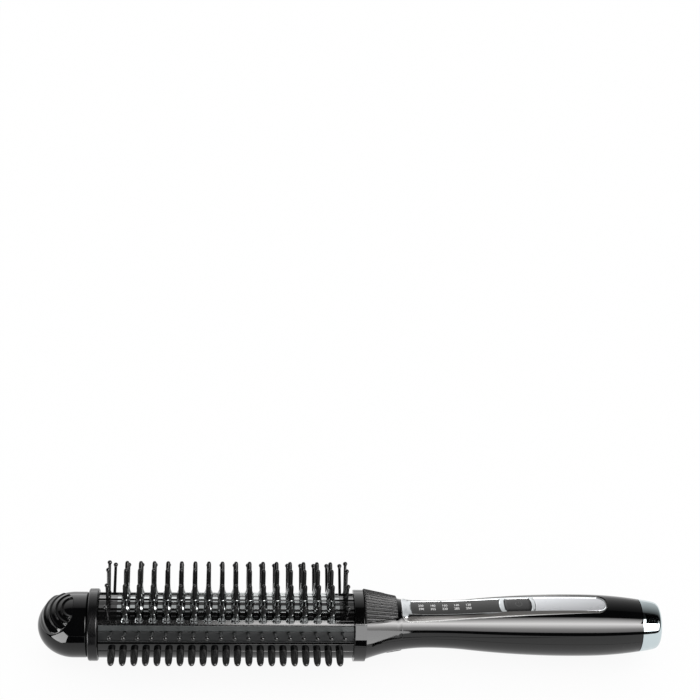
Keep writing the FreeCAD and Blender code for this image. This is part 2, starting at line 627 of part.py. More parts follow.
def nose_tank():
    """Water tank that forms the nose, with its finger pad, bulkhead, seal, plug and valve."""
    pad_side = turn(value("pad_turn"))
    hollow = dome("tank_hollow", "-tank_wall")
    recess = cut("pad_recess", pad_plan("recess_plan", "0.1"),
                 dome("recess_floor", "-pad_depth-0.1"))
    publish(cut("tank_shell_cut", dome("tank_outer", "0"), hollow, recess), "nose_tank_shell",
            pad_side)
    rings = []
    for number in range(DIMENSIONS["ridge_count"]):
        inner = "ridge_first+%d*ridge_pitch" % number
        ring_outer = post("ridge_outer_%d" % number, "dome_x", "0", "0", "25",
                          inner + "+ridge_width")
        ring_inner = post("ridge_inner_%d" % number, "dome_x", "0", "-1", "26", inner)
        rings.append(cut("ridge_ring_%d" % number, ring_outer, ring_inner))
    ridges = common("pad_ridges", dome("ridge_tops", "ridge_rise"), fuse("ridge_rings", *rings))
    skin = fuse("pad_skin", dome("pad_surface", "pad_rise"), ridges)
    pad = cut("pad_solid", common("pad_trimmed", skin, pad_plan("pad_outline", "0")),
              dome("pad_under", "-pad_depth"))
    publish(pad, "nose_grip_pad", pad_side)
    wall = turned("bulkhead_turned", (
        ("bulkhead_x", "stem_r+0.08"), ("bulkhead_x", "barrel_r-tank_wall-0.1"),
        ("tank_back_x", "barrel_r-tank_wall-0.1"), ("tank_back_x", "neck_r"),
        ("-1.5", "neck_r"), ("-1.5", "neck_r-1.05"), ("0.3", "neck_r-1.05"), ("0.3", "neck_r"),
        ("neck_end_x", "neck_r"), ("neck_end_x", "3.4"), ("bulkhead_x+2", "3.4"),
        ("bulkhead_x+2", "stem_r+0.08")))
    plug_hole = fuse("plug_hole", rod("plug_bore", "-8", "3", "2.5", "0", "-7.5"),
                     rod("plug_seat", "0.5", "3", "3.3", "0", "-7.5"))
    publish(cut("bulkhead_cut", wall, plug_hole), "nose_tank_bulkhead")
    publish(fuse("plug_fused", rod("plug_shank", "-6", "0.6", "2.45", "0", "-7.5"),
                 rod("plug_head", "0.55", "neck_end_x", "3.2", "0", "-7.5")), "fill_plug")
    seal = document.addObject("Part::Torus", "seal_torus")
    drive(seal, Radius1="neck_r-0.5", Radius2="0.55")
    publish(seat(seal, ALONG_X, "-0.6"), "tank_seal")
    publish(turned("stem_turned", (
        ("bulkhead_x-2.1", "0"), ("bulkhead_x-2.1", "2.8"), ("bulkhead_x-0.05", "2.8"),
        ("bulkhead_x-0.05", "stem_r"), ("1.4", "stem_r"), ("1.4", "2.9"), ("2.2", "2.9"),
        ("2.2", "stem_r"), ("rod_front_x-0.1", "stem_r"), ("rod_front_x-0.1", "0"))),
        "valve_stem")
    publish(coil_spring("stem_coil", "bulkhead_x+2.02", "1.38", 2.3, 0.3, 3.5),
            "valve_stem_spring")


# --- steam linkage ----------------------------------------------------------------------------

def linkage():
    """Trigger under the neck, the rod that it wedges forward, and their return springs."""
    shaft = turned("rod_turned", (
        ("rod_front_x", "0"), ("rod_front_x", "rod_r"), ("24", "rod_r"), ("24", "rod_collar_r"),
        ("25", "rod_collar_r"), ("25", "rod_r"), ("tail_x+1", "rod_r"), ("tail_x+1", "0")))
    tail = padded("rod_tail", (
        ("tail_x", "-tail_half"), ("ramp_zero_x-tail_half", "-tail_half"),
        ("ramp_zero_x+tail_half", "tail_half"), ("tail_x", "tail_half")), "2*tail_half")
    publish(fuse("rod_fused", shaft, tail), "valve_rod")
    publish(coil_spring("rod_coil", "12.05", "23.95", 1.55, 0.22, 7), "valve_rod_spring")
    tab = padded("trigger_tab", (
        ("trigger_front_x", "trigger_low_z"), ("trigger_rear_x", "trigger_low_z+trigger_drop"),
        ("trigger_rear_x", "flange_z+0.5"), ("trigger_front_x", "flange_z+0.5")),
        "2*trigger_half_y")
    flange = even_block("trigger_flange", ("ramp_zero_x-1.9", "trigger_rear_x+0.4"), "4.9",
                        ("flange_z", "flange_z+1"))
    ramp = padded("trigger_ramp", (
        ("ramp_zero_x-tail_half+2*ramp_gap", "flange_z+0.5"),
        ("ramp_zero_x+7", "flange_z+0.5"), ("ramp_zero_x+7", "tail_half"),
        ("ramp_zero_x+tail_half+2*ramp_gap", "tail_half"),
        ("ramp_zero_x-tail_half+2*ramp_gap", "-tail_half")), "5")
    publish(fuse("trigger_fused", tab, flange, ramp), "steam_trigger")
    fold = (("158", "flange_z+1.05"), ("162.8", "-5.2"), ("158.2", "-3"), ("162.8", "-0.8"),
            ("159.4", "seam_z-0.1"))
    back = [("%s+1" % u, v) for u, v in reversed(fold)]
    publish(padded("trigger_leaf", fold + tuple(back), "4"), "trigger_spring")


# --- handle -----------------------------------------------------------------------------------

def arcs_meet(low, top, top_curve, offset):
    """Corner where the hollow arc at a low point runs into the round arc at a high point."""
    low_x, low_v, low_curve = low
    top_x, top_v = top
    share = "(%s-(%s))/(%s+%s)" % (low_curve, offset, low_curve, top_curve)
    return ("%s+(%s-%s)*%s" % (low_x, top_x, low_x, share),
            "%s+%s-(%s+%s-%s+%s)*%s" % (low_v, low_curve, low_v, low_curve, top_v, top_curve,
                                        share))


def handle_turned(name, offset):
    """Handle outline turned about the handle's axis, grown by an offset."""
    low = ("waist_x", "waist_r", "waist_curve")
    meet = arcs_meet(low, ("belly_x", "belly_r"), BELLY_CURVE, offset)
    sine = "((tail_turn_x-belly_x)/%s)" % BELLY_CURVE
    cosine = "sqrt(1-%s^2)" % sine
    tail_x = "(belly_x+(%s-tail_curve)*%s)" % (BELLY_CURVE, sine)
    tail_v = "(belly_r-%s+(%s-tail_curve)*%s)" % (BELLY_CURVE, BELLY_CURVE, cosine)
    grown = "(%s+(%s))" % (BELLY_CURVE, offset)
    body = turned(name, (
        ("flare_end_x", "0"),
        ("flare_end_x", "waist_r+neck_curve-sqrt((neck_curve-(%s))^2-(waist_x-flare_end_x)^2)"
         % offset, "neck_curve-(%s)" % offset, -1),
        ("waist_x", "waist_r+(%s)" % offset, "waist_curve-(%s)" % offset, -1),
        meet + (grown, 1),
        ("belly_x+%s*%s" % (grown, sine), "belly_r-%s+%s*%s" % (BELLY_CURVE, grown, cosine),
         "tail_curve+(%s)" % offset, 1),
        ("handle_end_x", "%s+sqrt((tail_curve+(%s))^2-(handle_end_x-%s)^2)"
         % (tail_v, offset, tail_x)),
        ("handle_end_x", "0")))
    return seat(body, UPRIGHT, "0", "0", "handle_z")


def top_line(offset):
    """Corners of the panel's top line from front to rear, grown by an offset."""
    hollow = "dip_z+dip_curve-sqrt((dip_curve-(%s))^2-(dip_x-panel_front_x)^2)" % offset
    crest = "crest_z-%s+sqrt((%s+(%s))^2-(panel_rear_x-crest_x)^2)" % (CREST_CURVE, CREST_CURVE,
                                                                      offset)
    meet = arcs_meet(("dip_x", "dip_z", "dip_curve"), ("crest_x", "crest_z"), CREST_CURVE, offset)
    return ("panel_front_x", hollow), meet, ("panel_rear_x", crest)


def panel_band(name, low, high):
    """Slab between two heights above or below the panel's wavy top."""
    front, meet, rear = top_line(low)
    top_front, top_meet, top_rear = top_line(high)
    return padded(name, (
        front + ("dip_curve-(%s)" % low, -1), meet + ("%s+(%s)" % (CREST_CURVE, low), 1), rear,
        top_rear + ("%s+(%s)" % (CREST_CURVE, high), -1),
        top_meet + ("dip_curve-(%s)" % high, 1), top_front), "26")


def panel_seat(name, offset, drop):
    """Inside of the handle up to the floor that the panel's parts rest on."""
    return common(name, handle_turned(name + "_round", offset),
                  panel_band(name + "_level", "-12", drop))


def prism(name, outline, z, gap="0"):
    """Upright prism from a half outline seen from above, mirrored across the middle plane."""
    body = new_body(name)
    ends = {outline[0][0]: "%s-(%s)", outline[-1][0]: "%s+(%s)"}
    places = [(ends[point[0]] % (point[0], gap) if point[0] in ends else str(point[0]),
               "%s+(%s)" % (point[1], gap)) for point in outline]
    arcs = [(str(abs(point[2])), -math.copysign(1, point[2])) if point[2:] else ()
            for point in outline]
    near = [(x, "-(%s)" % half) + arc for (x, half), arc in zip(places, arcs)]
    far = [place + arc for place, arc in zip(reversed(places), arcs[-2::-1] + [()])]
    sketch = outline_sketch(body, name + "_plan", near + far, "XY_Plane")
    pad = body.newObject("PartDesign::Pad", name + "_pad")
    pad.Profile = (sketch, [""])
    drive(pad, Length="(%s)-(%s)" % (z[1], z[0]))
    body.Tip = pad
    return seat(body, UPRIGHT, "0", "0", z[0])


def notch(name, gap, x0):
    """Upright wedge-shaped opening in the neck for the ribbed grip."""
    body = new_body(name)
    front, rear = "notch_front_y-(%s)" % gap, "notch_rear_y-(%s)" % gap
    sketch = outline_sketch(body, name + "_plan", (
        (x0, "-(%s)" % front), ("flare_x+0.2", "-(%s)" % front),
        ("notch_rear_x-(%s)" % gap, "-(%s)" % rear), ("notch_rear_x-(%s)" % gap, rear),
        ("flare_x+0.2", front), (x0, front)), "XY_Plane")
    pad = body.newObject("PartDesign::Pad", name + "_pad")
    pad.Profile = (sketch, [""])
    drive(pad, Length="30")
    body.Tip = pad
    return seat(body, UPRIGHT, "0", "0", "seam_z")


def handle_shells():
    """Upper and lower halves of the handle, joined at a level seam by three screws."""
    outer = fuse("handle_outer", handle_turned("handle_round", "0"),
                 rod("handle_rim", "rim_x", "flare_end_x", "collar_r"))
    bore = fuse("handle_bore", handle_turned("handle_bore_round", "-handle_wall"),
                rod("rim_bore", "rim_x-1", "flare_end_x", "barrel_r+0.1"),
                rod("end_bore", "handle_end_x-1", "handle_end_x+1", "11.6", "0", "handle_z"))
    panel_block = common("panel_block", prism("panel_block_plan", PANEL_OUTLINE, ("5", "25"),
                                              "1.2"),
                         panel_band("panel_block_level", "-seat_depth-floor", "12"))
    wall = cut("handle_wall_solid", outer, cut("handle_hollow", bore, panel_block))
    keep_in = handle_turned("post_limit", "-1")
    above = even_block("above_seam", ("130", "300"), "30", ("seam_z+seam_gap", "40"))
    below = even_block("below_seam", ("130", "300"), "30", ("-40", "seam_z-seam_gap"))
    recess = cut("panel_recess", prism("recess_outline", PANEL_OUTLINE, ("5", "25"), "0.1"),
                 panel_seat("recess_floor", "-1.1", "-seat_depth"))
    light_slot = even_block("light_slot", ("mark_first-3.2", "202"), "2.6", ("5", "25"))
    stem_hole = post("stem_hole", "button_x", "0", "5", "25", "1.58")
    upper_posts = [post("upper_post_%d" % number, str(x), "0", "-1", "16", "2.3")
                   for number, x in enumerate(HANDLE_POSTS)]
    bar = even_block("spring_bar", ("159.4", "162.4"), "12", ("seam_z+seam_gap", "4"))
    upper_inside = common("upper_inside", fuse("upper_posts", bar, *upper_posts), keep_in)
    upper_tapped = [post("upper_tap_%d" % number, str(x), "0", "-2", "5", "screw_r+0.05")
                    for number, x in enumerate(HANDLE_POSTS)]
    upper_wall = common("upper_wall", wall, above)
    publish(cut("upper_cut", fuse("upper_fused", upper_wall, upper_inside),
                notch("grip_notch", "0", "130"), recess, light_slot, stem_hole, *upper_tapped),
            "handle_upper_shell")
    trigger_slot = even_block("trigger_slot", ("trigger_front_x-0.4", "trigger_rear_x+0.4"),
                              "trigger_half_y+0.4", ("-20", "-5"))
    lower_posts = [post("lower_post_%d" % number, str(x), "0", "-18", "-1.2", "post_r")
                   for number, x in enumerate(HANDLE_POSTS)]
    lower_inside = common("lower_inside", fuse("lower_posts", *lower_posts), keep_in)
    bores = []
    screws = []
    for number, (x, seat_z) in enumerate(zip(HANDLE_POSTS, ("-8.8", "-9.8", "-12.2"))):
        bores.append(post("screw_bore_%d" % number, str(x), "0", "-20", "0", "screw_r+0.2"))
        bores.append(post("head_bore_%d" % number, str(x), "0", "-20", seat_z,
                          "screw_head_r+0.25"))
        head = post("screw_head_%d" % number, str(x), "0", "%s-screw_head" % seat_z, seat_z,
                    "screw_head_r")
        shank = post("screw_shank_%d" % number, str(x), "0", seat_z, "4.5", "screw_r")
        screws.append(fuse("handle_screw_%d" % number, head, shank))
    lower_wall = common("lower_wall", wall, below)
    publish(cut("lower_cut", fuse("lower_fused", lower_wall, lower_inside), trigger_slot,
                rest_cut("rear_rest", "(rim_x+flare_x)/2"), *bores), "handle_lower_shell")
    publish(compound("handle_screw_set", screws), "handle_screws")


def rear_collar():
    """Ring behind the barrel, its top arc in view, with a spigot that the handle clamps."""
    front = "head_len-collar_half"
    ring = turned("rear_collar_ring", (
        (front, "10"), (front, "barrel_r-0.1"), ("flare_x", "barrel_r-0.1"),
        ("flare_x", "12.4"), ("150", "12.4"), ("150", "11.2"), ("head_len", "11.2"),
        ("head_len", "10")))
    arc = sector("rear_collar_arc", "barrel_r-0.3", "collar_r", "-47.4", "47.4", front,
                 "flare_x-0.1")
    publish(fuse("rear_collar_fused", ring, arc), "rear_collar")


def neck_grip():
    """Ribbed saddle let into the top of the neck."""
    cone = document.addObject("Part::Cone", "grip_cone")
    drive(cone, Radius1="grip_rise_r", Radius2="grip_end_r", Height="notch_rear_x-flare_x")
    seat(cone, ALONG_X, "flare_x", "0", "grip_axis_z")
    saddle = cut("grip_saddle", common("grip_trimmed", cone,
                                       notch("grip_outline", "0.12", "flare_x+0.1")),
                 handle_turned("grip_under", "-handle_wall"),
                 rod("grip_bore", "140", "151", "12.6"))
    slope = math.degrees(math.atan((value("grip_rise_r") - value("grip_end_r"))
                                   / value("notch_rear_x-flare_x")))
    grooves = []
    for number in range(DIMENSIONS["groove_count"]):
        angle = (number - (DIMENSIONS["groove_count"] - 1) / 2) * value("groove_step")
        groove = document.addObject("Part::Box", "grip_groove_%d" % number)
        drive(groove, Length="24", Width="groove_width", Height="3")
        start = Vector(value("flare_x") - 2, -value("groove_width") / 2,
                       value("grip_rise_r - groove_depth") + 2 * math.tan(math.radians(slope)))
        tilted = Placement(start, Rotation(Vector(0, 1, 0), slope))
        lift = Placement(Vector(0, 0, value("grip_axis_z")), Rotation())
        groove.Placement = lift * Placement(Vector(), turn(angle)) * tilted
        grooves.append(groove)
    publish(cut("grip_cut", saddle, *grooves), "neck_grip")


def panel():
    """Chromed bezel, dark display window, bare name plate and the power button."""
    tall = ("5", "25")
    skin = cut("bezel_skin", panel_band("bezel_level", "-6", "0"),
               panel_seat("bezel_under", "-1.05", "0.05-seat_depth"))
    openings = [prism("window_opening", WINDOW_OUTLINE, tall),
                prism("button_opening", BUTTON_OUTLINE, tall),
                prism("plate_opening", NAME_PLATE_OUTLINE, tall)]
    ring = cut("bezel_ring", prism("bezel_outline", PANEL_OUTLINE, tall), *openings)
    publish(common("bezel_common", ring, skin), "bezel")
    for outline, label in ((WINDOW_OUTLINE, "display_window"),
                           (NAME_PLATE_OUTLINE, "name_plate")):
        plan = prism(label + "_outline", outline, tall, "-0.05")
        level = panel_band(label + "_level", "0.1-seat_depth", "-window_drop")
        publish(common(label + "_common", plan, level), label)
    cap = common("button_cap", prism("button_outline", BUTTON_OUTLINE, tall, "-0.25"),
                 panel_band("button_level", "-button_rise", "button_rise"))
    stem = post("button_stem", "button_x", "0", "11.1", "15.3", "1.5")
    foot = post("button_foot", "button_x", "0", "11.1", "11.9", "2.6")
    publish(fuse("button_fused", cap, stem, foot), "power_button")
    publish(turned("dome_turned", (
        ("2.5", "9.85"), ("2.95", "9.85"), ("2.5", "11.05"), ("2.05", "11.05")), "V_Axis"),
        "power_button_dome", None, Vector(value("button_x"), 0, 0))


def electronics():
    """Circuit board with its lamps, switch and power parts, and the leads in the handle."""
    board = even_block("board_block", ("board_front_x", "board_rear_x"), "board_half_y",
                       ("board_z", "board_top"))
    holes = [post("board_hole_%d" % number, str(x), "0", "5", "8", "2.5")
             for number, x in enumerate(HANDLE_POSTS[:2])]
    publish(cut("board_cut", board, *holes), "main_pcb")
    lamps = [even_block("lamp_%d" % number, (
        "mark_first+%d*mark_pitch-0.8" % number, "mark_first+%d*mark_pitch+0.8" % number), "1",
        ("board_top", "board_top+0.9")) for number in range(DIMENSIONS["mark_count"])]
    publish(compound("lamp_set", lamps), "indicator_leds")
    guide = even_block("guide_block", ("mark_first-3", "201.6"), "2.3", ("board_top+1.1", "20"))
    publish(common("guide_common", guide, panel_band("guide_limit", "-12", "0.05-seat_depth")),
            "light_guide")
    switch = even_block("switch_block", ("button_x-3", "button_x+3"), "3",
                        ("board_top", "board_top+2.4"))
    plunger = post("switch_plunger", "button_x", "0", "board_top+2", "board_top+3.1", "1.3")
    publish(fuse("switch_fused", switch, plunger), "tact_switch")
    relay = even_block("relay_block", ("178", "196"), "4.5", ("-3.5", "board_z"))
    capacitor = post("capacitor_can", "222", "0", "-5", "board_z", "4.2")
    supply = even_block("supply_block", ("236", "252"), "5.5", ("-4", "board_z"))
    publish(compound("power_part_set", (relay, capacitor, supply)), "power_components")
    heater_leads = [rod("heater_lead_" + word, "126", "board_front_x", "0.9", y, "7.4")
                    for word, y in (("left", "-3.4"), ("right", "3.4"))]
    publish(compound("heater_lead_pair", heater_leads), "heater_leads")
    mains_leads = [rod("mains_lead_" + word, "254", "285", "0.9", y, "board_z-0.9")
                   for word, y in (("left", "-4.5"), ("right", "4.5"))]
    publish(compound("mains_lead_pair", mains_leads), "mains_leads")


def tail_end():
    """Chromed end cap with the swivelling cord gland and what holds it."""
    lift = Vector(0, 0, value("handle_z"))
    publish(turned("cap_turned", (
        ("cap_x", "cap_r_start"), ("299.4", "12.75"), ("301.6", "12.1"), ("302.7", "11.2"),
        ("cap_end_x", "10.4"), ("cap_end_x", "gland_r+gland_clear"),
        ("cap_end_x-2", "gland_r+gland_clear"), ("cap_end_x-2", "10.4"), ("286.5", "10.4"),
        ("286.5", "11.5"), ("cap_x", "11.5"))), "end_cap", None, lift)
    publish(turned("gland_turned", (
        ("284", "gland_bore_r"), ("284", "4.6"), ("298.4", "4.6"), ("298.4", "7.2"),
        ("cap_end_x-2.2", "7.2"), ("cap_end_x-2.2", "gland_r"), ("cap_end_x-0.3", "gland_r"),
        ("cap_end_x-0.3", "gland_bore_r"))), "cord_gland", None, lift)
    publish(turned("retainer_turned", (
        ("297", "4.6+gland_clear"), ("297", "10.35"), ("298.1", "10.35"),
        ("298.1", "4.6+gland_clear"))),
        "gland_retainer", None, lift)
    publish(turned("contact_turned", (
        ("285", "4.6+gland_clear"), ("285", "9.2"), ("292", "9.2"),
        ("292", "4.6+gland_clear"))),
        "swivel_contact_block", None, lift)


def check_and_export():
    """Stop on any failed feature, then write one STEP file for each sub-part."""
    document.recompute()
    failed = [obj.Name for obj in document.Objects
              if "Invalid" in obj.State or "Error" in obj.State]
    if failed:
        raise RuntimeError("failed features: %s" % ", ".join(failed))
    os.makedirs("parts", exist_ok=True)
    for obj in published:
        shape = obj.Shape
        if shape.isNull() or not shape.isValid() or shape.Volume <= 0:
            raise RuntimeError("bad shape: " + obj.Label)
        shape.exportStep("parts/%s.step" % obj.Label)
        print("%-24s solids %2d  volume %9.1f mm3" % (obj.Label, len(shape.Solids),
                                                      shape.Volume))
    print("%d nodes" % len(published))


def main():
    """Build every sub-part in order and write the files."""
    for build in (front_collar, collar_screws, heater_plate, tooth_caps, end_pins, side_pins,
                  side_strips, back_shell, comb_strips, chassis, heater_stack, nose_tank,
                  linkage, rear_collar, handle_shells, neck_grip, panel, electronics, tail_end):
        build()
    check_and_export()


main()
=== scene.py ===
"""Steam hair straightener brush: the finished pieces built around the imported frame.

Sizes are written in the barrel frame of the model's source: millimetres, X from the middle of the
front collar towards the handle, +Z through the heated teeth, and angles in degrees that turn from
+Z towards -Y, the left side. ``Solid.build`` moves each piece to the part's own frame, in metres.
"""
import json
import logging
import math
from dataclasses import dataclass
from enum import Enum
from typing import Callable, Sequence

import bmesh
import bpy
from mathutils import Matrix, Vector


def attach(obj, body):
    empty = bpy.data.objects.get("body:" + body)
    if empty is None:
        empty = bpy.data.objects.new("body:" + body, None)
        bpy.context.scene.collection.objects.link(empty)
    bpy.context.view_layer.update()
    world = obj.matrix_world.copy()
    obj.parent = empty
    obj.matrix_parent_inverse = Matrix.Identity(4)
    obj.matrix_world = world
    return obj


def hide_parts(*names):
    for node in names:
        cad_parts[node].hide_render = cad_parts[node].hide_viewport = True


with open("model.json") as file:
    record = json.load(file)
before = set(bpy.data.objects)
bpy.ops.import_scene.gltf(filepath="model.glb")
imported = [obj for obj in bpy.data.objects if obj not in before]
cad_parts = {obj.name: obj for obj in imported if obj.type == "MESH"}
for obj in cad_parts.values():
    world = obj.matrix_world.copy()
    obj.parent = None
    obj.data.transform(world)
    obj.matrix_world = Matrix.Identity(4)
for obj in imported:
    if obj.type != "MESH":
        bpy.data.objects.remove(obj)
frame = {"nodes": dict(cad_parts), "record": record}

Pair = tuple[float, float]
Triple = tuple[float, float, float]
Line = tuple[Pair, Pair]
Piece = bpy.types.Object
Socket = bpy.types.NodeSocket

log = logging.getLogger("brush")
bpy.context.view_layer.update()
HOME = Vector((-136.75, 0.0, 18.6))
ROOT = "brush_body"
SIDES = ((1, "left"), (-1, "right"))
# Angle from the middle of the fine groove under the comb teeth, with the groove's depth there.
GROOVE = ((-0.75, 0.0), (-0.5, 0.35), (0.5, 0.35), (0.75, 0.0))
GROOVE_ROOM = 1.2
# Longest edge left in a closed outline of the control panel.
LOOP_STEP = 1.2


# --- sizes ------------------------------------------------------------------------------------

@dataclass(frozen=True)
class BarrelSize:
    """Round parts of the barrel and its rows of teeth, in millimetres and degrees."""

    radius: float = 17.2
    collar_radius: float = 18.95
    rest_flat: float = 18.6
    front_x: float = 2.9
    rear_x: float = 136.6
    plate_angle: float = 48.5
    plate_radii: Pair = (15.6, 16.9)
    plate_bright: Pair = (12.4, 129.1)
    land_foot: float = 16.5
    shell_angles: Pair = (83.0, 277.0)
    rows: tuple[float, ...] = (-32.4, -10.8, 10.8, 32.4)
    tooth_first: float = 16.84
    tooth_pitch: float = 7.175
    tooth_count: int = 16
    end_pins: Pair = (7.62, 132.44)
    side_first: float = 9.94
    side_shift: float = 2.05
    side_pitch: float = 7.093
    side_count: int = 18
    side_angle: float = 56.2
    pin_stem: float = 0.82
    pin_ball: float = 1.2
    comb_first: float = 9.9
    comb_pitch: float = 5.97
    comb_count: int = 21
    comb_angle: float = 100.0
    comb_tip: float = 26.8
    comb_root: float = 1.6
    comb_half: Pair = (1.95, 1.28)
    comb_taper: float = 6.5


@dataclass(frozen=True)
class HandleSize:
    """Outline of the handle, four tangent arcs about an axis at height axis_z, and its beds."""

    axis_z: float = 0.9
    wall: float = 2.4
    rim_x: float = 137.2
    rim_gap: float = 0.1
    start_x: float = 143.2
    end_x: float = 291.6
    neck_curve: float = 97.0
    waist: Pair = (177.5, 12.3)
    waist_curve: float = 200.0
    belly: Pair = (255.0, 16.45)
    tail_turn_x: float = 264.0
    tail_curve: float = 211.6
    seam: Pair = (1.65, 1.75)
    notch: Line = ((142.4, 14.2), (160.2, 8.8))
    grip_bed: float = 3.0
    panel_bed: float = 1.4
    panel_bed_least: float = 0.8
    roof: float = 1.0
    wells: tuple[Pair, ...] = ((169.0, -8.8), (208.0, -9.8), (268.0, -12.2))
    well_radius: float = 2.25
    slot: tuple[Triple, Triple] = ((155.4, -4.4, -20.0), (164.4, 4.4, -5.0))

    def radius(self, x: float) -> float:
        """Radius of the handle's outside.

        Args:
            x: place along the handle.

        Returns:
            Distance of the surface from the handle's axis.
        """
        (low_x, low_r), (top_x, top_r) = self.waist, self.belly
        curve = round_curve(self.waist, self.waist_curve, self.belly)
        if x <= low_x:
            return low_r + self.neck_curve - math.sqrt(self.neck_curve ** 2 - (low_x - x) ** 2)
        if x <= self.tail_turn_x:
            return wave(self.waist, self.waist_curve, self.belly, x)
        sine = (self.tail_turn_x - top_x) / curve
        centre_x = top_x + (curve - self.tail_curve) * sine
        centre_r = top_r - curve + (curve - self.tail_curve) * math.sqrt(1 - sine ** 2)
        return centre_r + math.sqrt(self.tail_curve ** 2 - (x - centre_x) ** 2)


@dataclass(frozen=True)
class GripSize:
    """Ribbed saddle on the neck: half its width and its radius are straight lines along X."""

    axis_z: float = 0.4
    half: Line = ((142.3, 14.05), (160.1, 8.66))
    radius: Line = ((142.2, 19.4), (160.2, 15.7))
    front_places: Triple = (142.32, 142.45, 142.8)
    middle: Pair = (143.4, 159.6)
    rear_places: Pair = (159.9, 160.05)
    front_fade: Pair = (142.1, 0.7)
    rear_fade: Pair = (160.28, 0.6)
    end_drop: float = 0.8
    thickness: float = 3.6
    rib_step: float = 7.0
    rib_depth: float = 0.9
    rib_power: float = 1.6
    border: float = 0.02
    points: int = 240


@dataclass(frozen=True)
class PanelSize:
    """Control panel: its wavy top line and the half outlines of its parts seen from above."""

    dip: Pair = (172.0, 12.98)
    dip_curve: float = 400.0
    crest: Pair = (257.0, 16.1)
    outline: tuple[tuple[float, ...], ...] = (
        (162.3, 6.2, 4.0), (166.0, 8.9, -308.0), (206.0, 7.9, 961.0), (268.0, 6.7, 5.5),
        (272.6, 3.0))
    window: tuple[tuple[float, ...], ...] = (
        (167.3, 0.0, 24.0), (167.8, 4.6, 0.6), (168.2, 4.95), (176.0, 5.2), (215.7, 5.15, -14.0),
        (214.7, 0.0))
    button: tuple[tuple[float, ...], ...] = (
        (217.5, 1.2, 12.0), (218.5, 5.0), (231.2, 5.0, 12.0), (232.2, 1.2))
    plate: tuple[tuple[float, ...], ...] = (
        (234.3, 0.0, -12.0), (233.1, 5.3), (248.0, 5.35), (266.2, 5.2, 5.5), (272.0, 1.6))
    flat_half: float = 5.35
    crown: float = 0.45
    end_rim: float = 0.45
    end_leads: Pair = (3.7, 4.6)
    end_ease: float = 4.0
    least_rise: float = 0.3
    foot: float = 0.42
    foot_share: float = 0.35
    foot_reach: float = 0.32
    slope: float = 0.488
    lean: float = 0.444
    # Where the painted dark reflection on the frame's flank also takes in the left slope: fade-ins
    # at the front, rear and side as (offset, length), and its overlap.
    dark_reflection_front: Pair = (0.8, 2.5)
    dark_reflection_rear: Pair = (2.5, 2.0)
    dark_reflection_side: Pair = (2.0, 2.0)
    dark_reflection_overlap: float = 0.34
    tile: float = 0.45
    tile_lead: float = 3.0
    window_gap: float = 0.06
    plate_gap: float = 0.14
    button_gap: float = 0.22
    button_middle: float = 225.2
    button_rise: float = 0.34
    sign_radius: float = 1.75
    sign_half: float = 0.2
    marks: tuple[str, ...] = ("200", "180", "160", "140", "120")
    mark_first: float = 172.9
    mark_pitch: float = 6.35
    mark_size: float = 2.3
    mark_squeeze: float = 0.85

    def top(self, x: float) -> float:
        """Height of the panel's top."""
        return wave(self.dip, self.dip_curve, self.crest, x)

    def surface(self, x: float, y: float) -> float:
        """Height of the panel's crowned face."""
        return self.top(x) - self.crown * min(1.0, (y / self.flat_half) ** 2)


BARREL = BarrelSize()
HANDLE = HandleSize()
PANEL = PanelSize()


def along(line: Line, x: float) -> float:
    """Value of a straight line at a place."""
    (low_x, low), (high_x, high) = line
    return low + (high - low) * ((x - low_x) / (high_x - low_x))


def evenly(low: float, high: float, gaps: int) -> list[float]:
    """Evenly spaced values."""
    return [low + (high - low) * k / gaps for k in range(gaps + 1)]


def round_curve(low: Pair, low_curve: float, high: Pair) -> float:
    """Radius of the round arc over a high point that carries on a hollow arc."""
    run, rise = high[0] - low[0], high[1] - low[1]
    return (run ** 2 + rise ** 2) / (2 * rise) - low_curve


def wave(low: Pair, low_curve: float, high: Pair, x: float) -> float:
    """Height of a line made of a hollow arc and the round arc that carries it on.

    Args:
        low: lowest point of the hollow arc.
        low_curve: its radius.
        high: highest point of the round arc.
        x: place along the line.

    Returns:
        The line's height.
    """
    curve = round_curve(low, low_curve, high)
    if x <= low[0] + low_curve * (high[0] - low[0]) / (low_curve + curve):
        return low[1] + low_curve - math.sqrt(low_curve ** 2 - (x - low[0]) ** 2)
    return high[1] - curve + math.sqrt(curve ** 2 - (x - high[0]) ** 2)


def half_line(outline: Sequence[Sequence[float]], step: float = 0.8) -> list[Pair]:
    """Points along a half outline, with its rounded edges.

    Args:
        outline: corners as (x, half width) or (x, half width, radius of the edge to the next).
        step: longest distance between neighbouring points.

    Returns:
        Points from the first corner to the last.
    """
    points: list[Pair] = []
    for start, end in zip(outline, outline[1:]):
        chord = Vector((end[0] - start[0], end[1] - start[1]))
        count = max(2, math.ceil(chord.length / step))
        radius = start[2] if len(start) > 2 else 0.0
        left = Vector((-chord.y, chord.x)).normalized()
        for number in range(count):
            share = number / count
            bulge = 0.0
            if radius:
                across = (share - 0.5) * chord.length
                rise = math.sqrt(radius ** 2 - across ** 2)
                rest = math.sqrt(radius ** 2 - (chord.length / 2) ** 2)
                bulge = math.copysign(rise - rest, radius)
            place = Vector((start[0], start[1])) + chord * share + left * bulge
            points.append((place.x, place.y))
    points.append((outline[-1][0], outline[-1][1]))
    return points


def full_loop(outline: Sequence[Sequence[float]], grow: float = 0.0) -> list[Pair]:
    """Closed outline seen from above, mirrored across the middle plane.

    Args:
        outline: half outline, as for half_line.
        grow: distance by which the loop is grown.

    Returns:
        Points of the loop, first along the left side and back along the right side.
    """
    half = half_line(outline)
    near = [(x, -y) for x, y in half]
    loop = near + [(x, y) for x, y in reversed(half)]
    loop = divide(loop, LOOP_STEP)
    normals = loop_normals(loop)
    return [(p[0] + n[0] * grow, p[1] + n[1] * grow) for p, n in zip(loop, normals)]


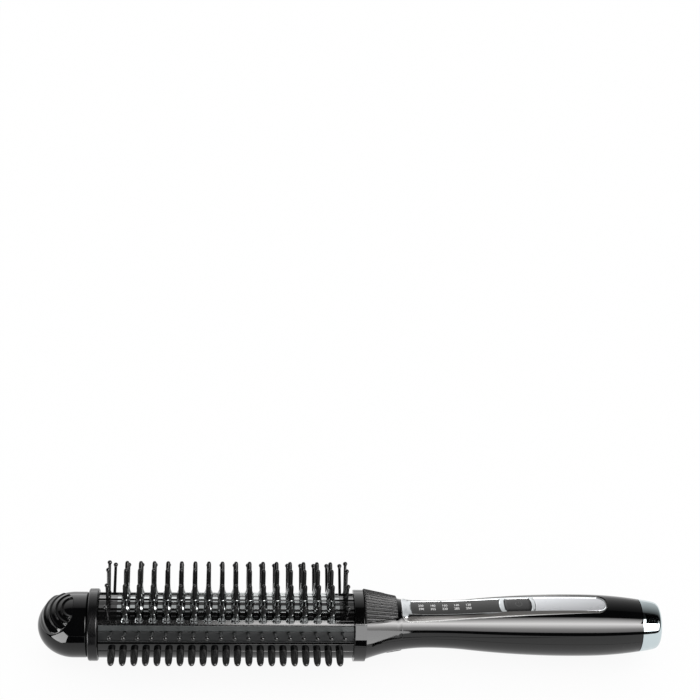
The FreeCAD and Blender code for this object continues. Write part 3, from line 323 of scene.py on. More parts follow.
def divide(loop: Sequence[Pair], step: float) -> list[Pair]:
    """Closed loop with long edges cut into shorter ones.

    Args:
        loop: corners of the loop.
        step: longest edge that is left.

    Returns:
        The finer loop.
    """
    result: list[Pair] = []
    for here, there in zip(loop, list(loop[1:]) + [loop[0]]):
        count = max(1, math.ceil(math.dist(here, there) / step))
        result += [(here[0] + (there[0] - here[0]) * k / count,
                    here[1] + (there[1] - here[1]) * k / count) for k in range(count)]
    return result


def loop_normals(loop: Sequence[Pair]) -> list[Pair]:
    """Outward normals of a closed loop that runs anticlockwise seen from above.

    Args:
        loop: corners of the loop.

    Returns:
        One unit normal for each corner.
    """
    normals = []
    for index, _ in enumerate(loop):
        before, after = loop[index - 1], loop[(index + 1) % len(loop)]
        run = Vector((after[0] - before[0], after[1] - before[1])).normalized()
        normals.append((run.y, -run.x))
    return normals


def smooth(share: float) -> float:
    """Eased step from 0 to 1."""
    share = min(1.0, max(0.0, share))
    return share * share * (3 - 2 * share)


# --- finishes ---------------------------------------------------------------------------------

class Grain(Enum):
    """Kinds of fine surface structure."""

    POLISHED = "polished"
    MOULDED = "moulded"
    PEBBLED = "pebbled"
    BRUSHED = "brushed"
    FIBROUS = "fibrous"
    SPECKLED = "speckled"


@dataclass(frozen=True)
class Finish:
    """One procedural material.

    Attributes:
        slot: the record's material slot.
        colour: base colour, linear.
        rough: mean roughness.
        metal: metallic share.
        grain: kind of fine structure.
        relief: depth of the bump in millimetres.
        uneven: how far roughness strays from its mean.
        mottle: how far colour strays from its mean.
        specular: level of the mirror layer, 0.5 for plain plastic.
    """

    slot: str
    colour: Triple
    rough: float
    metal: float = 0.0
    grain: Grain = Grain.MOULDED
    relief: float = 0.004
    uneven: float = 0.04
    mottle: float = 0.15
    specular: float = 0.5


class Finishes(Enum):
    """Every material of the brush; the first one of a slot also dresses that slot's nodes."""

    GLOSS = Finish("gloss_black_plastic", (0.0015, 0.0015, 0.0017), 0.055,
                   grain=Grain.POLISHED, relief=0.0006, uneven=0.03)
    # Copy of the gloss plastic with a weaker mirror layer: painted shade that darkens the nose's
    # reflections.
    NOSE = Finish("gloss_black_plastic", (0.0015, 0.0015, 0.0017), 0.055,
                  grain=Grain.POLISHED, relief=0.0006, uneven=0.03, specular=0.35)
    STRIP = Finish("gloss_black_plastic", (0.006, 0.007, 0.0075), 0.42, uneven=0.08,
                   specular=0.35)
    COLLAR = Finish("collar_dark_plastic", (0.003, 0.003, 0.0033), 0.2, uneven=0.05,
                    specular=0.3)
    COLLAR_GREY = Finish("collar_grey_plastic", (0.0015, 0.0015, 0.0015), 0.1, uneven=0.03)
    COMB = Finish("gloss_black_plastic", (0.016, 0.016, 0.016), 0.22, specular=0.4)
    PLATE = Finish("heated_plate_coating", (0.22, 0.23, 0.23), 0.12, 1.0, Grain.POLISHED,
                   0.001, 0.05)
    PLATE_DARK = Finish("heated_plate_coating", (0.003, 0.003, 0.003), 0.14,
                        grain=Grain.POLISHED, relief=0.001)
    CAP = Finish("tooth_cap_plastic", (0.003, 0.003, 0.003), 0.33, relief=0.006, specular=0.3)
    PIN = Finish("pin_plastic", (0.004, 0.004, 0.004), 0.1, relief=0.001)
    RAIL = Finish("side_rail_plastic", (0.026, 0.031, 0.031), 0.42, relief=0.003)
    RUBBER = Finish("grip_rubber", (0.012, 0.012, 0.012), 0.4, grain=Grain.PEBBLED,
                    relief=0.01, uneven=0.08)
    PAD = Finish("pad_plastic", (0.0015, 0.0015, 0.0017), 0.06, grain=Grain.POLISHED, relief=0.001)
    BEZEL = Finish("bezel_metallised", (0.5, 0.52, 0.53), 0.1, 1.0, Grain.POLISHED, 0.001,
                   0.03, 0.05)
    # Dark copy of the bezel's chrome: painted dark reflection on the frame's flank and left slope.
    BEZEL_FLANK = Finish("bezel_metallised", (0.085, 0.081, 0.077), 0.3, relief=0.002,
                         specular=0.3)
    # Light grey copy of the bezel's chrome: painted highlight along the frame's foot.
    BEZEL_FOOT = Finish("bezel_metallised", (0.5, 0.5, 0.49), 0.35, relief=0.002, specular=0.3)
    WINDOW = Finish("window_plastic", (0.014, 0.014, 0.0135), 0.14, grain=Grain.POLISHED,
                    relief=0.0008)
    NAME_PLATE = Finish("name_plate_satin", (0.62, 0.63, 0.65), 0.28, 0.9, Grain.BRUSHED,
                        0.0004, 0.05, 0.03)
    BUTTON = Finish("button_plastic", (0.012, 0.012, 0.012), 0.16, grain=Grain.POLISHED)
    TRIGGER = Finish("trigger_plastic", (0.01, 0.01, 0.01), 0.25)
    CHROME = Finish("chromed_cap", (0.57, 0.65, 0.67), 0.045, 1.0, Grain.POLISHED, 0.0006,
                    0.02, 0.03)
    FRAME_PLASTIC = Finish("inner_frame_plastic", (0.03, 0.03, 0.03), 0.5, relief=0.02)
    CAST = Finish("steam_chamber_metal", (0.6, 0.6, 0.62), 0.42, 1.0, Grain.SPECKLED, 0.02)
    CERAMIC = Finish("heater_ceramic", (0.7, 0.68, 0.62), 0.6, grain=Grain.SPECKLED)
    FILM = Finish("insulating_film", (0.6, 0.26, 0.04), 0.25, grain=Grain.POLISHED)
    SPRING = Finish("spring_steel", (0.55, 0.55, 0.57), 0.25, 1.0, Grain.BRUSHED, 0.003)
    SCREW = Finish("screw_steel", (0.4, 0.4, 0.42), 0.3, 1.0, Grain.BRUSHED, 0.004)
    BEAD = Finish("sensor_glass", (0.4, 0.2, 0.06), 0.2, grain=Grain.POLISHED)
    FUSE = Finish("fuse_case", (0.65, 0.65, 0.68), 0.3, 1.0, Grain.BRUSHED, 0.002)
    FELT = Finish("wick_felt", (0.8, 0.77, 0.7), 0.95, grain=Grain.FIBROUS, relief=0.12,
                  mottle=0.3)
    SEAL = Finish("silicone_seal", (0.35, 0.06, 0.04), 0.45, grain=Grain.PEBBLED)
    VALVE = Finish("valve_plastic", (0.6, 0.6, 0.6), 0.35)
    BOARD = Finish("circuit_board", (0.012, 0.11, 0.05), 0.3, grain=Grain.SPECKLED, mottle=0.4)
    LAMP = Finish("lamp_plastic", (0.8, 0.8, 0.74), 0.3)
    GUIDE = Finish("light_guide_plastic", (0.75, 0.78, 0.8), 0.1, grain=Grain.POLISHED)
    SWITCH = Finish("switch_plastic", (0.02, 0.02, 0.02), 0.38)
    POWER = Finish("power_part_plastic", (0.06, 0.06, 0.08), 0.4)
    WIRE = Finish("wire_insulation", (0.5, 0.5, 0.48), 0.45)
    BRASS = Finish("contact_brass", (0.72, 0.5, 0.18), 0.28, 1.0, Grain.BRUSHED, 0.003)
    PRINT = Finish("display_print", (0.78, 0.78, 0.78), 0.5, relief=0.001)
    SYMBOL = Finish("button_print", (0.05, 0.05, 0.05), 0.4, relief=0.001)


@dataclass(frozen=True)
class GrainScale:
    """Noise settings of one kind of grain: repeats per metre, stretch and contrast."""

    density: float
    stretch: Triple
    detail: float
    contrast: float


GRAIN_SCALES = {
    Grain.POLISHED: GrainScale(260.0, (1.0, 1.0, 1.0), 3.0, 0.5),
    Grain.MOULDED: GrainScale(2600.0, (1.0, 1.0, 1.0), 5.0, 1.0),
    Grain.PEBBLED: GrainScale(2200.0, (1.0, 1.0, 1.0), 2.0, 1.4),
    Grain.BRUSHED: GrainScale(5200.0, (0.03, 1.0, 1.0), 4.0, 1.0),
    Grain.FIBROUS: GrainScale(3000.0, (0.2, 1.0, 0.6), 8.0, 1.6),
    Grain.SPECKLED: GrainScale(1500.0, (1.0, 1.0, 1.0), 8.0, 1.8),
}


class NodeWriter:
    """Adds nodes to one tree, each with its inputs in the same call."""

    def __init__(self, tree: bpy.types.NodeTree) -> None:
        """Keep the tree."""
        self.tree = tree

    def add(self, kind: str, given: dict[int | str, object] | None = None,
            **settings: object) -> bpy.types.Node:
        """Add a node.

        Args:
            kind: the node's type.
            given: what its inputs get, by name or number: a socket to link or a plain value.
            settings: its other properties.

        Returns:
            The new node.
        """
        node = self.tree.nodes.new(kind)
        for name, value in settings.items():
            setattr(node, name, value)
        for key, value in (given or {}).items():
            self.give(node, key, value)
        return node

    def give(self, node: bpy.types.Node, key: int | str, value: object) -> None:
        """Link a socket to a node's input, or write a plain value there.

        Args:
            node: the node.
            key: name or number of the input.
            value: the socket or the value.
        """
        if isinstance(value, Socket):
            self.tree.links.new(value, node.inputs[key])
        else:
            node.inputs[key].default_value = value

    def math(self, operation: str, *terms: Socket | float) -> Socket:
        """Result of one sum."""
        return self.add("ShaderNodeMath", dict(enumerate(terms)), operation=operation).outputs[0]

    def spread(self, value: Socket, start: Pair, goal: Pair = (0.0, 1.0),
               curve: str = "LINEAR") -> Socket:
        """Value carried from one range to another.

        Args:
            value: socket that gives it.
            start: range that it comes from.
            goal: range that it goes to.
            curve: kind of step between the ends.

        Returns:
            Socket that gives the result.
        """
        given = {"Value": value, "From Min": start[0], "From Max": start[1], "To Min": goal[0],
                 "To Max": goal[1]}
        return self.add("ShaderNodeMapRange", given, interpolation_type=curve).outputs["Result"]

    def ramp(self, value: Socket, stops: Sequence[tuple[float, Sequence[float]]]) -> Socket:
        """Colour that changes with a value.

        Args:
            value: socket that gives it.
            stops: places from 0 to 1, each with its colour.

        Returns:
            Socket that gives the colour.
        """
        node = self.add("ShaderNodeValToRGB", {"Fac": value})
        elements = node.color_ramp.elements
        elements.remove(elements[1])
        for number, (place, colour) in enumerate(stops):
            stop = elements.new(place) if number else elements[0]
            stop.position = place
            stop.color = (*colour, 1)
        return node.outputs["Color"]

    def noise(self, place: Socket, density: float, stretch: Triple, detail: float) -> Socket:
        """Noise on object coordinates.

        Args:
            place: socket that gives the place.
            density: repeats per metre.
            stretch: scale on each axis.
            detail: octaves.

        Returns:
            Socket that gives the noise.
        """
        mapping = self.add("ShaderNodeMapping", {"Vector": place, "Scale": stretch})
        return self.add("ShaderNodeTexNoise", {
            "Scale": density, "Detail": detail, "Vector": mapping.outputs["Vector"],
        }).outputs["Fac"]


class MaterialMaker:
    """Builds each finish once, as a node tree on object coordinates."""

    BROAD = GrainScale(38.0, (1.0, 1.0, 1.0), 4.0, 1.0)
    FINE_SHARE = 0.35
    TINT_RANGE = (0.3, 0.7)
    WEAR_RANGE = (0.35, 0.95)
    LEAST_ROUGH = 0.02
    BUMP_SHARE = 0.5

    def __init__(self) -> None:
        """Start with no material made."""
        self.made: dict[Finish, bpy.types.Material] = {}

    def get(self, finish: Finish) -> bpy.types.Material:
        """Material for a finish.

        Args:
            finish: what to make.

        Returns:
            The material, made on first use.
        """
        if finish not in self.made:
            self.made[finish] = self.make(finish)
        return self.made[finish]

    def make(self, finish: Finish) -> bpy.types.Material:
        """Build the node tree of one finish.

        Args:
            finish: what to make.

        Returns:
            The new material.
        """
        material = bpy.data.materials.new(finish.slot)
        material.use_nodes = True
        nodes = NodeWriter(material.node_tree)
        scale, broad_scale = GRAIN_SCALES[finish.grain], self.BROAD
        place = nodes.add("ShaderNodeTexCoord").outputs["Object"]
        fine = nodes.noise(place, scale.density, scale.stretch, scale.detail)
        broad = nodes.noise(place, broad_scale.density, broad_scale.stretch, broad_scale.detail)
        blend = nodes.math("MULTIPLY_ADD", fine, self.FINE_SHARE * scale.contrast, broad)
        dark = [channel * (1 - finish.mottle) for channel in finish.colour]
        light = [min(1.0, channel * (1 + finish.mottle)) for channel in finish.colour]
        rough = (max(self.LEAST_ROUGH, finish.rough - finish.uneven),
                 finish.rough + finish.uneven)
        bump = nodes.add("ShaderNodeBump", {
            "Strength": min(1.0, self.BUMP_SHARE * scale.contrast),
            "Distance": finish.relief / 1000, "Height": fine})
        shader = material.node_tree.nodes["Principled BSDF"]
        for name, value in (
                ("Metallic", finish.metal), ("Specular IOR Level", finish.specular),
                ("Base Color", nodes.ramp(blend, list(zip(self.TINT_RANGE, (dark, light))))),
                ("Roughness", nodes.spread(blend, self.WEAR_RANGE, rough)),
                ("Normal", bump.outputs["Normal"])):
            nodes.give(shader, name, value)
        return material


MATERIALS = MaterialMaker()


# --- meshes -----------------------------------------------------------------------------------

def add_object(name: str, data: bpy.types.ID) -> Piece:
    """Put new data in the scene.

    Args:
        name: name of its object.
        data: the mesh, curve or camera.

    Returns:
        The new object.
    """
    obj = bpy.data.objects.new(name, data)
    bpy.context.scene.collection.objects.link(obj)
    return obj


def oval(half: Pair, z: float, count: int, power: float = 1.0) -> list[Vector]:
    """Level ring, round or with squarer corners.

    Args:
        half: half its length along X and along Y.
        z: its height.
        count: number of points.
        power: 1 for an ellipse, less for squarer corners.

    Returns:
        The ring's points.
    """
    points = []
    for k in range(count):
        turn = math.tau * k / count
        cosine, sine = math.cos(turn), math.sin(turn)
        points.append(Vector((half[0] * math.copysign(abs(cosine) ** power, cosine),
                              half[1] * math.copysign(abs(sine) ** power, sine), z)))
    return points


def polar(x: float, radius: float, angle: float, axis_z: float = 0.0) -> Vector:
    """Point at an angle about an axis along X."""
    turn = math.radians(angle)
    return Vector((x, -radius * math.sin(turn), axis_z + radius * math.cos(turn)))


def bake(obj: Piece) -> Piece:
    """Apply an object's modifiers and leave a plain mesh.

    Args:
        obj: object with modifiers, or a text.

    Returns:
        The same object with its final mesh, or a new one of its name where it was a text.
    """
    graph = bpy.context.evaluated_depsgraph_get()
    mesh = bpy.data.meshes.new_from_object(obj.evaluated_get(graph), depsgraph=graph)
    if obj.type != "MESH":
        fresh = add_object(obj.name + "_mesh", mesh)
        name = obj.name
        bpy.data.objects.remove(obj)
        fresh.name = name
        return fresh
    obj.modifiers.clear()
    obj.data = mesh
    return obj


class Solid:
    """Points and faces gathered in the barrel frame, in millimetres."""

    MERGE = 2e-6
    DEGENERATE = 1e-6

    def __init__(self) -> None:
        """Start empty."""
        self.points: list[Vector] = []
        self.faces: list[tuple[int, ...]] = []

    def add(self, points: Sequence[Vector]) -> list[int]:
        """Add points.

        Args:
            points: places in the barrel frame.

        Returns:
            Their numbers.
        """
        first = len(self.points)
        self.points += [Vector(point) for point in points]
        return list(range(first, len(self.points)))

    def loft(self, rings: Sequence[Sequence[Vector]], ring_closed: bool = True,
             caps: bool = True, around: bool = False) -> "Solid":
        """Skin rings that have equal numbers of points.

        Args:
            rings: cross-sections in order.
            ring_closed: whether each ring's last point joins its first.
            caps: whether the first and last rings are filled.
            around: whether the last ring joins the first.

        Returns:
            This solid.
        """
        numbers = [self.add(ring) for ring in rings]
        pairs = list(zip(numbers, numbers[1:]))
        if around:
            pairs.append((numbers[-1], numbers[0]))
        size = len(numbers[0])
        for here, there in pairs:
            for index in range(size if ring_closed else size - 1):
                after = (index + 1) % size
                self.faces.append((here[index], here[after], there[after], there[index]))
        if caps and not around:
            self.faces.append(tuple(numbers[0]))
            self.faces.append(tuple(reversed(numbers[-1])))
        return self

    def lathe(self, profile: Sequence[Pair], axis_z: float = 0.0, segments: int = 128) -> "Solid":
        """Turn a closed profile about an axis along X.

        Args:
            profile: corners as (x, radius).
            axis_z: height of the axis.
            segments: facets round the axis.

        Returns:
            This solid.
        """
        rings = [[polar(x, max(r, 0.0), 360 * k / segments, axis_z) for x, r in profile]
                 for k in range(segments)]
        return self.loft(rings, around=True, caps=False)

    def upright_lathe(self, profile: Sequence[Pair], segments: int = 20) -> "Solid":
        """Turn an open profile about +Z."""
        return self.loft([oval((r, r), z, segments) for z, r in profile])

    def block(self, low: Triple, high: Triple) -> "Solid":
        """Box between two corners.

        Args:
            low: lowest corner.
            high: highest corner.

        Returns:
            This solid.
        """
        corners = ((low[1], low[2]), (high[1], low[2]), (high[1], high[2]), (low[1], high[2]))
        return self.loft([[Vector((x, y, z)) for y, z in corners] for x in (low[0], high[0])])

    def keep_above(self, z: float) -> "Solid":
        """Flatten everything below a level.

        Args:
            z: the level.

        Returns:
            This solid.
        """
        for point in self.points:
            point.z = max(point.z, z)
        return self

    def shift(self, distance: float) -> "Solid":
        """Move everything along X.

        Args:
            distance: how far.

        Returns:
            This solid.
        """
        for point in self.points:
            point.x += distance
        return self

    def build(self, name: str, finish: Finishes, sharp: float = 32.0, bevel: float = 0.0,
              template: bool = False) -> Piece:
        """Make the object.

        Args:
            name: its name.
            finish: its material.
            sharp: angle above which an edge stays sharp, in degrees.
            bevel: width of the rounding on edges sharper than that, in millimetres.
            template: whether it stays in its own upright frame, for use in a row.

        Returns:
            The new object, with its mesh in metres.
        """
        home = Vector() if template else HOME
        mesh = bpy.data.meshes.new(name)
        mesh.from_pydata([(point + home) / 1000 for point in self.points], [], self.faces)
        work = bmesh.new()
        work.from_mesh(mesh)
        bmesh.ops.remove_doubles(work, verts=work.verts, dist=self.MERGE)
        bmesh.ops.dissolve_degenerate(work, edges=work.edges, dist=self.DEGENERATE)
        bmesh.ops.recalc_face_normals(work, faces=work.faces)
        for face in work.faces:
            face.smooth = True
        for edge in work.edges:
            edge.smooth = edge.calc_face_angle(0.0) < math.radians(sharp)
        work.to_mesh(mesh)
        work.free()
        obj = add_object(name, mesh)
        mesh.materials.append(MATERIALS.get(finish.value))
        if bevel:
            rounding = obj.modifiers.new("rounding", "BEVEL")
            rounding.width = bevel / 1000
            rounding.segments = 3
            rounding.limit_method = "ANGLE"
            rounding.angle_limit = math.radians(sharp)
            rounding.harden_normals = True
        weighted = obj.modifiers.new("weighted", "WEIGHTED_NORMAL")
        weighted.keep_sharp = True
        return bake(obj)

    def dress(self, name: str, finish: Finishes, node: str, body: str = ROOT,
              sharp: float = 32.0, bevel: float = 0.0) -> Piece:
        """Build the piece and let it ride in place of a CAD node."""
        return fit(self.build(name, finish, sharp, bevel), body, finish, node)


def fit(obj: Piece, body: str, finish: Finishes, *nodes: str) -> Piece:
    """Let a piece ride on a body in place of CAD nodes.

    Args:
        obj: the piece.
        body: name of the body.
        finish: its finish; not used.
        nodes: CAD nodes that it stands for.

    Returns:
        The piece.
    """
    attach(obj, body)
    if nodes:
        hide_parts(*nodes)
    return obj


def carve(obj: Piece, tool: Piece) -> None:
    """Cut one piece out of another and drop the tool.

    Args:
        obj: piece that is cut.
        tool: what is cut out of it.
    """
    cutting = obj.modifiers.new("cut", "BOOLEAN")
    cutting.operation = "DIFFERENCE"
    cutting.solver = "EXACT"
    cutting.object = tool
    bpy.context.view_layer.update()
    bake(obj)
    bpy.data.objects.remove(tool)


def rounded(corners: Sequence[Pair], radius: float, steps: int = 4) -> list[Pair]:
    """Closed profile with its corners rounded.

    Args:
        corners: the profile's corners.
        radius: how far from a corner its rounding starts, at most.
        steps: segments in each rounding.

    Returns:
        The rounded profile.
    """
    result: list[Pair] = []
    count = len(corners)
    for index, corner in enumerate(corners):
        here = Vector(corner)
        before, after = Vector(corners[index - 1]), Vector(corners[(index + 1) % count])
        if here.y <= 0:
            result.append(corner)
            continue
        reach = min(radius, (before - here).length * 0.45, (after - here).length * 0.45)
        start = here + (before - here).normalized() * reach
        end = here + (after - here).normalized() * reach
        for step in range(steps + 1):
            share = step / steps
            point = (start * (1 - share) ** 2 + here * 2 * share * (1 - share)
                     + end * share ** 2)
            result.append((point.x, point.y))
    return result


def sector_rings(radii: Pair, angles: Pair, places: Sequence[float], step: float = 2.0,
                 groove: float | None = None) -> list[list[Vector]]:
    """Cross-sections of a part of a tube.

    Args:
        radii: inner and outer radius.
        angles: first and last angle.
        places: where along X a cross-section lies.
        step: degrees between points.
        groove: angle, on both sides, of a fine groove along the outside.

    Returns:
        One closed ring for each place.
    """
    inner, outer = radii
    count = max(2, math.ceil((angles[1] - angles[0]) / step))
    line = [(angles[0] + (angles[1] - angles[0]) * k / count, outer) for k in range(count + 1)]
    if groove is not None:
        for middle in (groove, 360 - groove):
            line = [item for item in line if abs(item[0] - middle) > GROOVE_ROOM]
            line += [(middle + offset, outer - depth) for offset, depth in GROOVE]
        line.sort()
    back = [(angle, inner) for angle, _ in line]
    return [[polar(x, r, angle) for angle, r in line + back[::-1]] for x in places]


# --- rows of repeated pieces ------------------------------------------------------------------

@dataclass(frozen=True)
class Row:
    """A straight row of equal pieces along the barrel.

    Attributes:
        count: how many.
        first: place of the first along X, and its shift across.
        pitch: distance between neighbours.
        angle: direction in which they stand.
        wobble: largest turn of a piece about itself, in degrees.
        seed: seed of that turn.
    """

    count: int
    first: Pair
    pitch: float
    angle: float
    wobble: float = 1.5
    seed: int = 7


class RowMaker:
    """Geometry Nodes tree that repeats a template along a row."""

    INPUTS = (("Template", "NodeSocketObject"), ("Count", "NodeSocketInt"),
              ("First", "NodeSocketVector"), ("Pitch", "NodeSocketVector"),
              ("Turn", "NodeSocketVector"), ("Home", "NodeSocketVector"),
              ("Wobble", "NodeSocketFloat"), ("Seed", "NodeSocketInt"),
              ("Finish", "NodeSocketMaterial"))

    def __init__(self) -> None:
        """Build the tree."""
        self.tree = bpy.data.node_groups.new("row_of_pieces", "GeometryNodeTree")
        for name, kind in self.INPUTS:
            self.tree.interface.new_socket(name=name, in_out="INPUT", socket_type=kind)
        self.tree.interface.new_socket(name="Geometry", in_out="OUTPUT",
                                       socket_type="NodeSocketGeometry")
        nodes = NodeWriter(self.tree)
        given = nodes.add("NodeGroupInput").outputs
        line = nodes.add("GeometryNodeMeshLine", {
            "Count": given["Count"], "Start Location": given["First"],
            "Offset": given["Pitch"]})
        piece = nodes.add("GeometryNodeObjectInfo", {"Object": given["Template"]})
        copies = nodes.add("GeometryNodeInstanceOnPoints", {
            "Points": line.outputs["Mesh"], "Instance": piece.outputs["Geometry"],
            "Rotation": self.wobble(nodes, given)})
        place = nodes.add("GeometryNodeTransform", {
            "Geometry": copies.outputs["Instances"], "Translation": given["Home"],
            "Rotation": given["Turn"]})
        real = nodes.add("GeometryNodeRealizeInstances", {
            "Geometry": place.outputs["Geometry"]})
        paint = nodes.add("GeometryNodeSetMaterial", {
            "Geometry": real.outputs["Geometry"], "Material": given["Finish"]})
        nodes.add("NodeGroupOutput", {"Geometry": paint.outputs["Geometry"]})

    @staticmethod
    def wobble(nodes: NodeWriter, given: bpy.types.NodeOutputs) -> Socket:
        """Small random turn of each copy about itself.

        Args:
            nodes: writer of the tree.
            given: the tree's inputs.

        Returns:
            Socket that gives the turn.
        """
        low = nodes.math("MULTIPLY", given["Wobble"], -1.0)
        chance = nodes.add("FunctionNodeRandomValue", data_type="FLOAT")
        by_name = {socket.name: socket for socket in chance.inputs if socket.enabled}
        for name, source in (("Min", low), ("Max", given["Wobble"]), ("Seed", given["Seed"])):
            nodes.tree.links.new(source, by_name[name])
        turn = next(socket for socket in chance.outputs if socket.enabled)
        return nodes.add("ShaderNodeCombineXYZ", {"Z": turn}).outputs["Vector"]

    def make(self, name: str, template: Piece, row: Row, finish: Finishes,
             node: str) -> Piece:
        """Repeat a template along a row.

        Args:
            name: name of the new piece.
            template: upright piece on the barrel's axis, in metres.
            row: where the copies stand.
            finish: their material.
            node: CAD node that the row stands for.

        Returns:
            One finished piece that holds the whole row.
        """
        host = add_object(name, bpy.data.meshes.new(name))
        modifier = host.modifiers.new("row", "NODES")
        modifier.node_group = self.tree
        values = {
            "Template": template, "Count": row.count,
            "First": (row.first[0] / 1000, row.first[1] / 1000, 0.0),
            "Pitch": (row.pitch / 1000, 0.0, 0.0),
            "Turn": (math.radians(row.angle), 0.0, 0.0), "Home": HOME / 1000,
            "Wobble": math.radians(row.wobble), "Seed": row.seed,
            "Finish": MATERIALS.get(finish.value),
        }
        for item in self.tree.interface.items_tree:
            if item.item_type == "SOCKET" and item.in_out == "INPUT":
                modifier[item.identifier] = values[item.name]
        host.update_tag()
        bpy.context.view_layer.update()
        return fit(bake(host), ROOT, finish, node)


ROWS = RowMaker()


# --- nose -------------------------------------------------------------------------------------

@dataclass(frozen=True)
class NoseSize:
    """Rounded nose: a half ellipsoid with a short skirt, and the finger pad on it."""

    centre_x: float = -10.0
    length: float = 19.5
    wall: float = 2.2
    rim: tuple[Pair, ...] = ((-3.9, 17.2), (-3.6, 17.13), (-3.3, 16.95), (-3.1, 16.65),
                             (-3.0, 16.2), (-3.0, 15.0))
    pad_turn: float = 16.0
    pad_x: float = -18.8
    pad_half: Pair = (9.3, 12.1)
    pad_depth: float = 0.9
    pad_rise: float = 0.12
    pad_sweep: float = 89.2
    pad_gaps: int = 120
    border: float = 0.5
    border_drop: float = 0.3
    ridge_radii: tuple[float, ...] = (5.95, 9.1, 12.25, 15.4)
    ridge_width: float = 2.2
    ridge_rise: float = 0.75
    ridge_crest: float = 0.72


class NoseBuilder:
    """Builds the water tank's shell and its finger pad."""

    def __init__(self, size: NoseSize) -> None:
        """Keep the sizes."""
        self.size = size

    def dome_point(self, x: float, y: float, grow: float) -> Vector:
        """Point on the grown ellipsoid over a place of the pad's plan, turned as the pad is.

        Args:
            x: place along the axis.
            y: place across the pad.
            grow: distance by which the ellipsoid is grown.

        Returns:
            The point.
        """
        radius = BARREL.radius + grow
        share = (x - self.size.centre_x) / (self.size.length + grow)
        height = radius * math.sqrt(max(0.0, 1 - min(0.0, share) ** 2 - (y / radius) ** 2))
        lean = math.degrees(math.atan2(-y, height))
        return polar(x, math.hypot(y, height), lean + self.size.pad_turn)

    def quarter(self, inset: float, angles: Sequence[float]) -> list[Pair]:
        """Part of the nose's profile.

        Args:
            inset: distance inside the surface.
            angles: directions from the tip, in degrees.

        Returns:
            The points, as (x, radius).
        """
        size = self.size
        return [(size.centre_x - (size.length - inset) * math.cos(math.radians(a)),
                 (BARREL.radius - inset) * math.sin(math.radians(a))) for a in angles]

    def shell(self) -> Piece:
        """Turn the shell, open at the back, with a rounded rear lip."""
        outer = self.quarter(0.0, range(0, 91, 3))
        inner = self.quarter(self.size.wall, range(90, -1, -6))
        # The nose shell wears the shaded copy of the gloss plastic, a painted shade.
        return Solid().lathe([*outer, *self.size.rim, *inner]).dress(
            "nose_shell", Finishes.NOSE, "nose_tank_shell", "nose_tank")

    def rise(self, rho: float) -> float:
        """Height of the pad's surface over the nose.

        Args:
            rho: distance from the centre of the arcs, seen from above.

        Returns:
            The height, with the raised arcs.
        """
        size = self.size
        for middle in size.ridge_radii:
            across = (rho - middle) / size.ridge_width
            if abs(across) < 0.5:
                lean = smooth((across + 0.5) / size.ridge_crest) * smooth(
                    (0.5 - across) / (1 - size.ridge_crest))
                return size.pad_rise + size.ridge_rise * lean
        return size.pad_rise

    def reach(self, phi: float) -> float:
        """Distance of the pad's border from the centre of the arcs.

        Args:
            phi: direction in the pad's plan, in radians.

        Returns:
            The distance.
        """
        size = self.size
        half_x, half_y = size.pad_half
        ahead = (size.centre_x - size.pad_x) / half_x
        run, side = math.cos(phi) / half_x, math.sin(phi) / half_y
        square, product = run ** 2 + side ** 2, run * ahead
        return (product + math.sqrt(product ** 2 + square * (1 - ahead ** 2))) / square

    def pad(self) -> Piece:
        """Finger pad: a curved skin with raised arcs and a rounded border."""
        size = self.size
        rings = []
        for turn in evenly(-size.pad_sweep, size.pad_sweep, size.pad_gaps):
            phi = math.radians(turn)
            reach = self.reach(phi)
            skin, under = [], []
            for rho in evenly(0.0, reach, size.pad_gaps):
                x, y = size.centre_x - rho * math.cos(phi), rho * math.sin(phi)
                edge = smooth((reach - rho) / size.border) * smooth(
                    (size.centre_x + 0.1 - x) / size.border)
                rise = self.rise(rho) * edge - size.border_drop * (1 - edge)
                skin.append(self.dome_point(x, y, rise))
                under.append(self.dome_point(x, y, -size.pad_depth))
            rings.append(skin + under[::-1])
        return Solid().loft(rings).dress("finger_pad", Finishes.PAD, "nose_grip_pad",
                                         "nose_tank", sharp=50)

    def build(self) -> list[Piece]:
        """Build the pieces of the nose."""
        return [self.shell(), self.pad()]


# --- barrel -----------------------------------------------------------------------------------

@dataclass(frozen=True)
class Land:
    """Raised strip along the heated plate: its two edges as (angle, radius)."""

    low: Pair
    high: Pair


